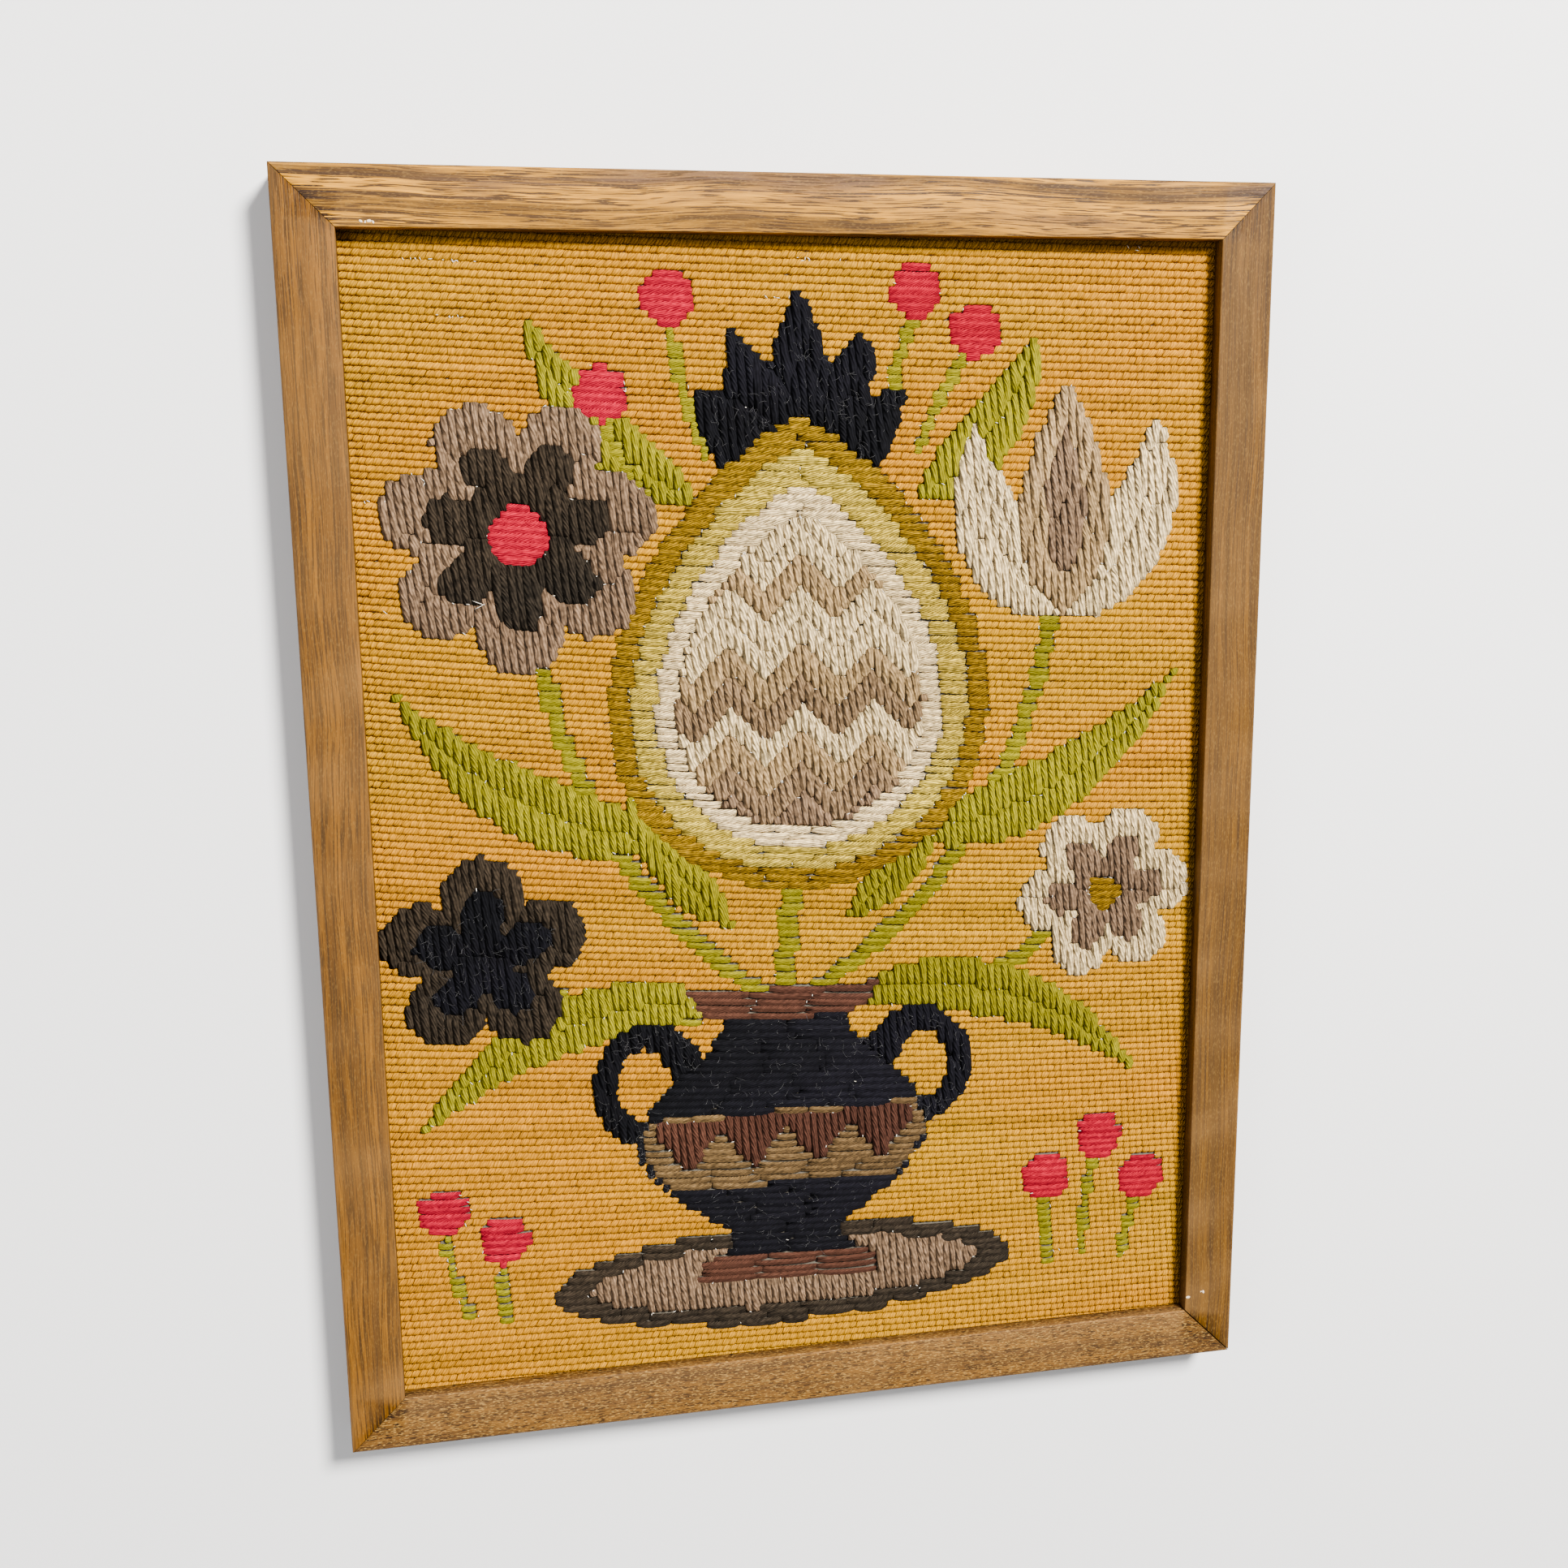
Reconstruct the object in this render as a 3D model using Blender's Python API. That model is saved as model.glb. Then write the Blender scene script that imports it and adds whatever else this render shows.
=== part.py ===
"""Wool needlework in a mitred oak frame, lying on its back.

Metres, +Z up. The picture's face looks up, its top is towards +Y, and its right
side towards +X. The origin is the middle of the back, on the plane of the rails'
backs. Run with: blender --background --python part.py
"""

from collections import namedtuple
from math import cos, hypot, pi, radians, sin, sqrt

import bmesh
import bpy
from mathutils import Matrix

# Needlework: square canvas, ten threads to the inch.
STITCH = 0.00254
COLUMNS = 120
ROWS = 160
CLOTH_THICKNESS = 0.0024
CLOTH_CLEARANCE = 0.0004

# Oak moulding: a flat face with a lip in front of the cloth.
RAIL_WIDTH = 0.019
RAIL_DEPTH = 0.018
LIP_WIDTH = 0.006
LIP_THICKNESS = 0.006
MITRE_GAP = 0.0003
LIP_GAP = 0.0003
INNER_ARRIS = 0.0007
OUTER_ARRIS = 0.0012
BACK_ARRIS = 0.0005

# Stitched fields: the first stands this proud, and each later one a little more.
FIELD_RELIEF = 0.00030
FIELD_STEP = 0.000015

# Worked out from the sizes above.
SIGHT_WIDTH = COLUMNS * STITCH - 2 * LIP_WIDTH
SIGHT_HEIGHT = ROWS * STITCH - 2 * LIP_WIDTH
CLOTH_WIDTH = COLUMNS * STITCH - 2 * CLOTH_CLEARANCE
CLOTH_HEIGHT = ROWS * STITCH - 2 * CLOTH_CLEARANCE
LIP_BACK = RAIL_DEPTH - LIP_THICKNESS
CLOTH_FACE = LIP_BACK - LIP_GAP
CLOTH_BACK = CLOTH_FACE - CLOTH_THICKNESS
FIELD_ROOT = CLOTH_FACE - CLOTH_THICKNESS / 2

# The design is given in stitches from the canvas's centre.
Leaf = namedtuple("Leaf", "base_x base_y tip_x tip_y width bow")
Stem = namedtuple("Stem", "base_x base_y tip_x tip_y width bow")
Berry = namedtuple("Berry", "x y root_x root_y")
Section = namedtuple("Section", "height half_width")
Ring = namedtuple("Ring", "name yarn y half_width half_height")
Flower = namedtuple("Flower", "name yarn x y radius petals notch turn")
Eye = namedtuple("Eye", "name yarn x y radius")
Petal = namedtuple("Petal", "name yarn shape")

URN_X = -3
URN_SECTIONS = (
    Section(-66.0, 12.0),
    Section(-63.0, 11.0),
    Section(-60.0, 7.5),
    Section(-54.0, 15.0),
    Section(-46.0, 21.0),
    Section(-38.0, 18.0),
    Section(-31.0, 10.5),
    Section(-27.0, 9.0),
    Section(-24.0, 13.0),
)
RIM_SECTIONS = (Section(-27.4, 9.6), Section(-25.5, 12.4), Section(-23.0, 13.6))
FOOT_SECTIONS = (Section(-66.7, 13.2), Section(-64.5, 12.9), Section(-62.8, 11.6))
BAND_LOW = -52
BAND_HIGH = -41
BAND_MARGIN = 0.6
BAND_POINTS = 5
TOOTH_WIDTH = 8
TOOTH_TIP = -49.5
TOOTH_ROOT = -43.5

STEMS = (
    Stem(-6, -24, -36, 36, 2.4, 0.12),
    Stem(1, -24, 36, 32, 2.4, -0.12),
    Stem(-8, -24, -43, -12, 2.4, 0.22),
    Stem(4, -24, 44, -6, 2.4, -0.20),
    Stem(-3, -24, -1, 0, 3.0, 0.0),
)
LEAVES = (
    Leaf(-18, -1, -54, 20, 9.0, 0.12),
    Leaf(-10, -14, -24, 14, 6.5, 0.10),
    Leaf(-11, -25, -54, -41, 8.0, -0.14),
    Leaf(14, -2, 54, 20, 9.0, -0.12),
    Leaf(6, -14, 21, 13, 6.5, -0.10),
    Leaf(5, -25, 50, -40, 8.0, 0.14),
    Leaf(-14, 44, -35, 67, 8.0, 0.10),
    Leaf(16, 44, 33, 66, 8.0, -0.10),
)
BERRIES = (
    Berry(-17, 70, -12, 50),
    Berry(-26, 58, -20, 44),
    Berry(16, 71, 12, 52),
    Berry(24, 66, 16, 50),
    Berry(41, -50, 40, -68),
    Berry(33, -55, 34, -69),
    Berry(49, -56, 45, -69),
    Berry(-46, -52, -42, -68),
    Berry(-38, -57, -38, -69),
)
BERRY_RADIUS = 3.6
BERRY_STEM_WIDTH = 1.6
BERRY_STEM_BOW = 0.05

# The bloom in the middle: rings of stitches round a heart, under a crown of leaves.
BLOOM_RINGS = (
    Ring("bloom_rim", "gold", 23.0, 31.0, 32.0),
    Ring("bloom_ring", "straw", 22.3, 27.5, 28.6),
    Ring("bloom_inner_ring", "white", 21.6, 23.4, 24.6),
    Ring("bloom_heart", "beige", 21.0, 20.0, 21.2),
)
CROWN_LEAVES = 5
CROWN_Y = 46
CROWN_REACH = 25
CROWN_SPREAD = 24
CROWN_LEAF_WIDTH = 9

LEFT_FLOWER = (
    Flower("left_flower", "taupe", -37, 40, 18.0, 7, 0.28, 0.2),
    Flower("left_flower_heart", "dark_brown", -37, 40, 12.5, 7, 0.45, 0.2),
    Eye("left_flower_eye", "pink", -37, 40, 4.0),
)
LOW_LEFT_FLOWER = (
    Flower("low_left_flower", "dark_brown", -44, -16, 14.0, 5, 0.40, 0.3),
    Flower("low_left_flower_heart", "black", -44, -16, 9.5, 5, 0.62, 0.3),
)
LOW_RIGHT_FLOWER = (
    Flower("low_right_flower", "white", 44, -12, 13.0, 6, 0.30, 0.1),
    Flower("low_right_flower_heart", "taupe", 44, -12, 9.0, 6, 0.50, 0.1),
    Eye("low_right_flower_eye", "gold", 44, -12, 2.6),
)
TULIP = (
    Petal("tulip_left_petal", "white", Leaf(37, 28, 24, 54, 11.0, 0.14)),
    Petal("tulip_right_petal", "white", Leaf(37, 28, 50, 55, 11.0, -0.14)),
    Petal("tulip_middle_petal", "beige", Leaf(37, 28, 37, 60, 13.0, 0.0)),
    Petal("tulip_heart", "taupe", Leaf(37, 33, 37, 54, 6.0, 0.0)),
)

# The oval mat under the urn.
MAT_Y = -66
MAT_RADIUS = 40
MAT_SCALLOPS = 22
MAT_SCALLOP_DEPTH = 0.10
MAT_FLATNESS = 0.19
MAT_MIDDLE_WIDTH = 33
MAT_MIDDLE_HEIGHT = 5.2

# The urn's handles, and the ground that shows through them.
HANDLE_X = 19
HANDLE_Y = -36
HANDLE_WIDTH = 8
HANDLE_HEIGHT = 9
HANDLE_HOLE_X = 20
HANDLE_HOLE_WIDTH = 4
HANDLE_HOLE_HEIGHT = 5.5


def ellipse(x, y, radius_x, radius_y, points=24):
    """Outline of an oval."""
    return [
        (x + radius_x * cos(2 * pi * k / points), y + radius_y * sin(2 * pi * k / points))
        for k in range(points)
    ]


def rosette(x, y, radius, petals, notch, turn=0.0, squash=1.0, points_each=6):
    """Outline of a flower of round petals; notch is how far in they part."""
    outline = []
    for k in range(petals * points_each):
        angle = 2 * pi * k / (petals * points_each)
        bulge = abs(cos(petals * angle / 2)) ** 0.7
        reach = radius * (1 - notch + notch * bulge)
        outline.append((x + reach * cos(angle + turn), y + squash * reach * sin(angle + turn)))
    return outline


def ribbon(base_x, base_y, tip_x, tip_y, bow, half_width, points):
    """The two sides of a bowed strip, whose half width is a function of the way along."""
    run_x, run_y = tip_x - base_x, tip_y - base_y
    length = hypot(run_x, run_y)
    side_x, side_y = -run_y / length, run_x / length
    left, right = [], []
    for k in range(points + 1):
        along = k / points
        rise = bow * length * 4 * along * (1 - along)
        middle_x = base_x + run_x * along + side_x * rise
        middle_y = base_y + run_y * along + side_y * rise
        slope = bow * 4 * (1 - 2 * along)
        tilt = hypot(1, slope)
        across_x = (side_x - run_x / length * slope) / tilt * half_width(along)
        across_y = (side_y - run_y / length * slope) / tilt * half_width(along)
        left.append((middle_x + across_x, middle_y + across_y))
        right.append((middle_x - across_x, middle_y - across_y))
    return left, right


def leaf(row, points=8):
    """Outline of a pointed leaf on a bowed midrib."""

    def half_width(along):
        return row.width / 2 * max(sin(pi * along**0.75), 0.0) ** 0.9

    left, right = ribbon(*row[:4], row.bow, half_width, points)
    return left[:-1] + right[:0:-1]


def stem(row, points=6):
    """Outline of a stem of even width."""
    left, right = ribbon(*row[:4], row.bow, lambda along: row.width / 2, points)
    return left + right[::-1]


def teardrop(x, y, half_width, half_height, points=36):
    """Outline of a bloom, round below and pointed above."""
    outline = []
    for k in range(points):
        angle = 2 * pi * k / points
        outline.append((x + half_width * sin(angle) * sin(angle / 2) ** 0.55, y + half_height * cos(angle)))
    return outline


def smooth_width(sections, height):
    """Half width of a turned shape at a height, on a smooth curve through its sections."""
    span = max((k for k in range(len(sections) - 1) if sections[k].height <= height), default=0)
    low, high = sections[span], sections[span + 1]
    before = sections[max(span - 1, 0)].half_width
    after = sections[min(span + 2, len(sections) - 1)].half_width
    way = (height - low.height) / (high.height - low.height)
    bend_1 = high.half_width - before
    bend_2 = 2 * before - 5 * low.half_width + 4 * high.half_width - after
    bend_3 = 3 * low.half_width - before - 3 * high.half_width + after
    return 0.5 * (2 * low.half_width + bend_1 * way + bend_2 * way**2 + bend_3 * way**3)


def mirrored(x, heights_and_widths):
    """Closed outline from the half widths at rising heights."""
    right = [(x + width, height) for height, width in heights_and_widths]
    left = [(x - width, height) for height, width in heights_and_widths]
    return right + left[::-1]


def turned(x, sections, points_each=3):
    """Outline of an urn, rim or foot that is the same on both sides of x."""
    rows = []
    for low, high in zip(sections, sections[1:]):
        for k in range(points_each):
            height = low.height + (high.height - low.height) * k / points_each
            rows.append((height, smooth_width(sections, height)))
    rows.append((sections[-1].height, sections[-1].half_width))
    return mirrored(x, rows)


def urn_band():
    """Outline of the band round the urn's belly, just inside the urn's own outline."""
    rows = []
    for k in range(BAND_POINTS):
        height = BAND_LOW + (BAND_HIGH - BAND_LOW) * k / (BAND_POINTS - 1)
        rows.append((height, smooth_width(URN_SECTIONS, height) - BAND_MARGIN))
    return mirrored(URN_X, rows)


def urn_teeth():
    """Outline of the band's upper part, whose lower edge is a row of teeth."""
    half = smooth_width(URN_SECTIONS, BAND_HIGH) - 2 * BAND_MARGIN
    top = BAND_HIGH - BAND_MARGIN
    teeth = int(2 * half / TOOTH_WIDTH)
    edge = []
    for k in range(2 * teeth + 1):
        edge.append((URN_X - half + half * k / teeth, TOOTH_TIP if k % 2 else TOOTH_ROOT))
    return [(URN_X + half, top), (URN_X - half, top)] + edge


def crown_leaf(order):
    """One of the leaves that fan out above the bloom, the middle one longest."""
    from_middle = order - CROWN_LEAVES // 2
    angle = radians(90 + from_middle * CROWN_SPREAD)
    reach = CROWN_REACH - 3 * abs(from_middle)
    tip_x, tip_y = reach * cos(angle), CROWN_Y + reach * sin(angle)
    return leaf(Leaf(0.15 * tip_x, CROWN_Y, tip_x, tip_y, CROWN_LEAF_WIDTH, 0.0))


def flower_field(row):
    """A flower's petals or its eye as a field."""
    if isinstance(row, Eye):
        return row.name, row.yarn, [ellipse(row.x, row.y, row.radius, row.radius, 14)]
    return row.name, row.yarn, [rosette(row.x, row.y, row.radius, row.petals, row.notch, row.turn)]


def design():
    """The stitched fields as (name, yarn, outlines), from the lowest to the topmost."""
    mat = rosette(URN_X, MAT_Y, MAT_RADIUS, MAT_SCALLOPS, MAT_SCALLOP_DEPTH, 0.0, MAT_FLATNESS, 4)
    fields = [
        ("mat_border", "dark_brown", [mat]),
        ("mat_middle", "taupe", [ellipse(URN_X, MAT_Y, MAT_MIDDLE_WIDTH, MAT_MIDDLE_HEIGHT, 32)]),
    ]
    fields += [(f"stem_{k + 1}", "green", [stem(row)]) for k, row in enumerate(STEMS)]
    fields += [(f"leaf_{k + 1}", "green", [leaf(row)]) for k, row in enumerate(LEAVES)]
    fields += [(f"crown_leaf_{k + 1}", "black", [crown_leaf(k)]) for k in range(CROWN_LEAVES)]
    fields += [
        (row.name, row.yarn, [teardrop(0, row.y, row.half_width, row.half_height)]) for row in BLOOM_RINGS
    ]
    fields += [flower_field(row) for row in LEFT_FLOWER]
    fields += [(row.name, row.yarn, [leaf(row.shape)]) for row in TULIP]
    fields += [flower_field(row) for row in LOW_LEFT_FLOWER + LOW_RIGHT_FLOWER]
    for name, side in (("urn_left_handle", -1), ("urn_right_handle", 1)):
        outer = ellipse(URN_X + side * HANDLE_X, HANDLE_Y, HANDLE_WIDTH, HANDLE_HEIGHT)
        inner = ellipse(URN_X + side * HANDLE_HOLE_X, HANDLE_Y, HANDLE_HOLE_WIDTH, HANDLE_HOLE_HEIGHT, 16)
        fields.append((name, "black", [outer, inner]))
    fields += [
        ("urn", "black", [turned(URN_X, URN_SECTIONS)]),
        ("urn_band", "khaki", [urn_band()]),
        ("urn_band_teeth", "russet", [urn_teeth()]),
        ("urn_rim", "russet", [turned(URN_X, RIM_SECTIONS)]),
        ("urn_foot", "russet", [turned(URN_X, FOOT_SECTIONS)]),
    ]
    for k, row in enumerate(BERRIES):
        under = Stem(row.root_x, row.root_y, row.x, row.y - 2, BERRY_STEM_WIDTH, BERRY_STEM_BOW)
        fields.append((f"berry_stem_{k + 1}", "green", [stem(under, 4)]))
        fields.append((f"berry_{k + 1}", "pink", [ellipse(row.x, row.y, BERRY_RADIUS, BERRY_RADIUS, 12)]))
    return fields


def linear(red, green, blue):
    """A colour as the shader takes it, from its everyday 0 to 255 values."""
    values = [c / 255 for c in (red, green, blue)]
    return [c / 12.92 if c <= 0.04045 else ((c + 0.055) / 1.055) ** 2.4 for c in values] + [1.0]


def new_material(name, colour, roughness):
    material = bpy.data.materials.new(name)
    material.use_nodes = True
    shader = material.node_tree.nodes["Principled BSDF"]
    shader.inputs["Base Color"].default_value = linear(*colour)
    shader.inputs["Roughness"].default_value = roughness
    shader.inputs["Metallic"].default_value = 0.0
    material.diffuse_color = linear(*colour)
    return material


def yarn_materials():
    """One wool material for each yarn, and the golden one of the ground."""
    colours = {
        "ground": (214, 152, 62),
        "black": (28, 27, 30),
        "white": (214, 203, 184),
        "straw": (208, 184, 112),
        "gold": (168, 122, 16),
        "beige": (182, 146, 100),
        "taupe": (140, 113, 92),
        "dark_brown": (82, 65, 50),
        "russet": (92, 48, 34),
        "khaki": (122, 94, 55),
        "green": (150, 148, 30),
        "pink": (205, 45, 75),
    }
    return {name: new_material(f"wool_{name}", colour, 0.95) for name, colour in colours.items()}


def oak_materials():
    """Each rail was cut from a different board, so each has a shade of its own."""
    colours = {
        "frame_rail_top": (190, 140, 70),
        "frame_rail_bottom": (140, 100, 60),
        "frame_rail_left": (165, 115, 45),
        "frame_rail_right": (176, 125, 60),
    }
    return {name: new_material(f"oak_{name}", colour, 0.55) for name, colour in colours.items()}


def new_collection(name, hidden=False):
    collection = bpy.data.collections.new(name)
    bpy.context.scene.collection.children.link(collection)
    collection.hide_render = hidden
    return collection


def extruded(name, outlines, thickness, collection):
    """A flat outline, with any hole in it, made solid: it is centred on z = 0."""
    curve = bpy.data.curves.new(name + "_outline", "CURVE")
    curve.dimensions = "2D"
    curve.fill_mode = "BOTH"
    curve.extrude = thickness / 2
    for outline in outlines:
        spline = curve.splines.new("POLY")
        spline.points.add(len(outline) - 1)
        for point, (x, y) in zip(spline.points, outline):
            point.co = (x, y, 0, 1)
        spline.use_cyclic_u = True
    guide = bpy.data.objects.new(name + "_outline", curve)
    collection.objects.link(guide)
    graph = bpy.context.evaluated_depsgraph_get()
    mesh = bpy.data.meshes.new_from_object(guide.evaluated_get(graph))
    mesh.name = name
    bpy.data.objects.remove(guide)
    shape = bmesh.new()
    shape.from_mesh(mesh)
    bmesh.ops.remove_doubles(shape, verts=shape.verts, dist=1e-6)
    bmesh.ops.recalc_face_normals(shape, faces=shape.faces)
    shape.to_mesh(mesh)
    shape.free()
    solid = bpy.data.objects.new(name, mesh)
    collection.objects.link(solid)
    return solid


def rail_profile():
    """Cross-section of the moulding: (distance out from the sight edge, height), front arrises rounded."""
    corners = (
        (0.0, LIP_BACK, 0.0),
        (LIP_WIDTH, LIP_BACK, 0.0),
        (LIP_WIDTH, 0.0, BACK_ARRIS),
        (RAIL_WIDTH, 0.0, BACK_ARRIS),
        (RAIL_WIDTH, RAIL_DEPTH, OUTER_ARRIS),
        (0.0, RAIL_DEPTH, INNER_ARRIS),
    )
    segments = 3
    profile = []
    for k, (across, height, radius) in enumerate(corners):
        if radius == 0.0:
            profile.append((across, height))
            continue
        before, after = corners[k - 1], corners[(k + 1) % len(corners)]
        arms = []
        for other in (before, after):
            gap = hypot(other[0] - across, other[1] - height)
            arms.append(((other[0] - across) / gap * radius, (other[1] - height) / gap * radius))
        centre_x = across + arms[0][0] + arms[1][0]
        centre_y = height + arms[0][1] + arms[1][1]
        for s in range(segments + 1):
            turn = pi / 2 * s / segments
            profile.append(
                (
                    centre_x - arms[1][0] * cos(turn) - arms[0][0] * sin(turn),
                    centre_y - arms[1][1] * cos(turn) - arms[0][1] * sin(turn),
                )
            )
    return profile


def add_rail(name, sight_length, x, y, turn, collection):
    """A length of moulding with both ends mitred, turned to its side of the picture."""
    rail = extruded(name, [rail_profile()], sight_length + 3 * RAIL_WIDTH, collection)
    shape = bmesh.new()
    shape.from_mesh(rail.data)
    along_across_up = Matrix(((0, 0, 1, 0), (1, 0, 0, 0), (0, 1, 0, 0), (0, 0, 0, 1)))
    bmesh.ops.transform(shape, matrix=along_across_up, verts=shape.verts)
    reach = sight_length / 2 - MITRE_GAP / 2 * sqrt(2)
    for end in (-1, 1):
        cut = bmesh.ops.bisect_plane(
            shape,
            geom=shape.verts[:] + shape.edges[:] + shape.faces[:],
            plane_co=(end * reach, 0, 0),
            plane_no=(end, -1, 0),
            clear_outer=True,
        )
        rim = [item for item in cut["geom_cut"] if isinstance(item, bmesh.types.BMEdge)]
        bmesh.ops.holes_fill(shape, edges=rim)
    bmesh.ops.recalc_face_normals(shape, faces=shape.faces)
    shape.to_mesh(rail.data)
    shape.free()
    rail.location = (x, y, 0)
    rail.rotation_euler = (0, 0, turn)
    return rail


def add_frame(collection):
    materials = oak_materials()
    half_width, half_height = SIGHT_WIDTH / 2, SIGHT_HEIGHT / 2
    sides = (
        ("frame_rail_top", SIGHT_WIDTH, 0, half_height, 0),
        ("frame_rail_bottom", SIGHT_WIDTH, 0, -half_height, pi),
        ("frame_rail_left", SIGHT_HEIGHT, -half_width, 0, pi / 2),
        ("frame_rail_right", SIGHT_HEIGHT, half_width, 0, -pi / 2),
    )
    for name, sight_length, x, y, turn in sides:
        rail = add_rail(name, sight_length, x, y, turn, collection)
        rail.data.materials.append(materials[name])


def add_needlework(collection, field_collection):
    """The worked canvas: a flat sheet of wool on which each stitched field stands a little proud."""
    materials = yarn_materials()
    x, y = CLOTH_WIDTH / 2, CLOTH_HEIGHT / 2
    cloth = extruded("stitched_canvas", [[(-x, -y), (x, -y), (x, y), (-x, y)]], CLOTH_THICKNESS, collection)
    cloth.location = (0, 0, (CLOTH_FACE + CLOTH_BACK) / 2)
    cloth.data.materials.append(materials["ground"])
    for order, (name, yarn, outlines) in enumerate(design()):
        top = CLOTH_FACE + FIELD_RELIEF + FIELD_STEP * order
        loops = [[(x * STITCH, y * STITCH) for x, y in outline] for outline in outlines]
        field = extruded(name, loops, top - FIELD_ROOT, field_collection)
        field.location = (0, 0, (top + FIELD_ROOT) / 2)
        field.data.materials.append(materials[yarn])
        field.hide_render = True
        field.display_type = "WIRE"
    joined = cloth.modifiers.new("Stitched fields", "BOOLEAN")
    joined.operation = "UNION"
    joined.solver = "EXACT"
    joined.operand_type = "COLLECTION"
    joined.collection = field_collection
    joined.material_mode = "TRANSFER"


def build():
    for old in list(bpy.data.objects):
        bpy.data.objects.remove(old, do_unlink=True)
    picture = new_collection("framed_crewel_embroidery")
    fields = new_collection("stitched_fields", hidden=True)
    add_frame(picture)
    add_needlework(picture, fields)


build()
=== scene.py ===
"""Looks of the wool needlework in its oak frame: every stitch, the canvas under it, and the rails."""

from collections import namedtuple
from math import atan2, ceil, cos, hypot, pi, radians, sin, sqrt

import bmesh
import bpy
import numpy as np
from mathutils import Matrix, Vector, noise


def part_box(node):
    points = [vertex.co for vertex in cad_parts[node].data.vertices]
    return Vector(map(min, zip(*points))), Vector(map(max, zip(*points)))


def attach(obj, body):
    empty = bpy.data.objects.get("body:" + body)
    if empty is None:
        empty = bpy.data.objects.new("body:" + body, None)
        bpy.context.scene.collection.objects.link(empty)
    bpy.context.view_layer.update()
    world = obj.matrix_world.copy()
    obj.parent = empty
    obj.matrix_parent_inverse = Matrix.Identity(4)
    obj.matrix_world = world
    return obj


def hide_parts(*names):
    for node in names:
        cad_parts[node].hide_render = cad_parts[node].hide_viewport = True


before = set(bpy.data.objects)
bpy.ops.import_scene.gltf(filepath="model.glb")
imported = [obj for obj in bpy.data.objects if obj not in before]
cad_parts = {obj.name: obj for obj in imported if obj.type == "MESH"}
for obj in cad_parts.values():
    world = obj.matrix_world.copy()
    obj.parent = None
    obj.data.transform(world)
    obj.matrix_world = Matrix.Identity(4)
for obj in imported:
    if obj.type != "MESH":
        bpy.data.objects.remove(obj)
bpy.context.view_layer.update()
BODY = "root"

# Places read from the frame, in metres.
CLOTH_LOW, CLOTH_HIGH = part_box("stitched_canvas")
TOP_LOW, TOP_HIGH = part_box("frame_rail_top")
RIGHT_LOW, RIGHT_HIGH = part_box("frame_rail_right")
SIGHT_X = RIGHT_LOW.x
SIGHT_Y = TOP_LOW.y
RAIL_WIDTH = RIGHT_HIGH.x - RIGHT_LOW.x
FACE_Z = TOP_HIGH.z

# The moulding, its worn edges and its mitres, in metres.
LIP = 0.006
LIP_BACK = FACE_Z - LIP
LIP_ARRIS, BACK_ARRIS, INNER_ARRIS, OUTER_ARRIS = 0.0002, 0.0005, 0.0005, 0.0012
INNER_WEAR_REACH, OUTER_WEAR_REACH = 0.0012, 0.0020
RUB_DEPTH, DENT_DEPTH = 0.00008, 0.0004
LIP_EDGE_BELOW_FACE, LIP_EDGE_DEPTH = 0.0009, 0.0004
MITRE_PLAY = 0.00006
MITRE_WEAR_DEPTH = 0.002
# How many slices a rail is modelled in, so that its worn edges can waver.
RAIL_SLICES = 90

# The canvas: ten threads to the inch, pulled out of square as it was worked.
STITCH = 0.00254
HALF_COLUMNS = 60
HALF_ROWS = 80
SPARE_COLUMNS = 8
SPARE_ROWS = 5
CANVAS_MARGIN = 0.7
LEAN = 0.082
ROW_DROP = 5.0
ROW_DROP_REACH = 68.0
ROW_DROP_EASE = 0.25
SWELL = 0.0006

# Heights, widths and depths in the needlework, in metres.
CANVAS_TOP = 0.0104
CANVAS_THICKNESS = 0.0006
TENT_LEVEL = 0.0103
TENT_RISE = 0.0007
TENT_HEIGHT = 0.00068
LONG_LEVEL = 0.0109
LONG_RISE = 0.00068
LONG_HEIGHT = 0.00074
BACK_LEVEL = 0.00978
BACK_HEIGHT = 0.00032
BACK_MARGIN = 0.001
HAIR_RADIUS, HAIR_BOW = 0.000035, 0.0006
HAIR_RISES = (0.0002, 0.0009)
SPECK_RADIUS, SPECK_RISE = 0.00013, 0.0001
STITCH_SPECK_LEVELS = (0.0112, 0.0119)
BARE_SPECK_LEVELS = (0.0113, 0.0116)
LINT_RADIUS, LINT_LEVEL = 0.0001, 0.01195
# How far the painted shadow under the lips reaches.
LIP_PAINTED_SHADOW_REACH = 0.0015

# How much the painted shadow under the lips darkens, and the share of stitch ends where canvas shows.
LIP_PAINTED_SHADOW = 0.5
SPECK_SHARE, DARK_SPECK_SHARE = 0.2, 0.03

# How fast plies wind round a strand, as turns in each millimetre, and how full its ends are.
YARN_LAY = 0.026
TENT_LAY = -0.8 * YARN_LAY
TENT_TAPER, LONG_TAPER, HAIR_TAPER = 0.68, 0.76, 0.4

# The slanted stitches, in stitches of canvas: half their run across and up, and half their width.
# A beady one runs farther across and is narrower.
TENT_ACROSS, TENT_BEAD_ACROSS, TENT_UP = 0.20, 0.10, 0.53
TENT_WIDTH, TENT_BEAD_NARROWER = 0.76, 0.10

# Half widths of the floats behind the slanted and the long stitches, in stitches.
TENT_BACK_WIDTH, LONG_BACK_WIDTH = 0.46, 0.5

# Half widths of the long stitches and what alters them, and how long a short one is, in stitches.
LONG_WIDTH = 0.65
LONG_WIDTHS = {"black": 0.82, "dark_brown": 0.82, "pink": 0.72}
NARROWER, UPRIGHT_WIDER, SHORT_NARROWER, SHORT = 0.03, 0.23, 0.05, 4.5

# Loose hairs: their reach in stitches, how many stand off each stitch, and how light they are.
HAIR_REACHES = (0.3, 1.6)
FUZZ_PER_STITCH, HAIRS_PER_STITCH, HAIR_TONE = 4.5, 0.8, 1.15

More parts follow.
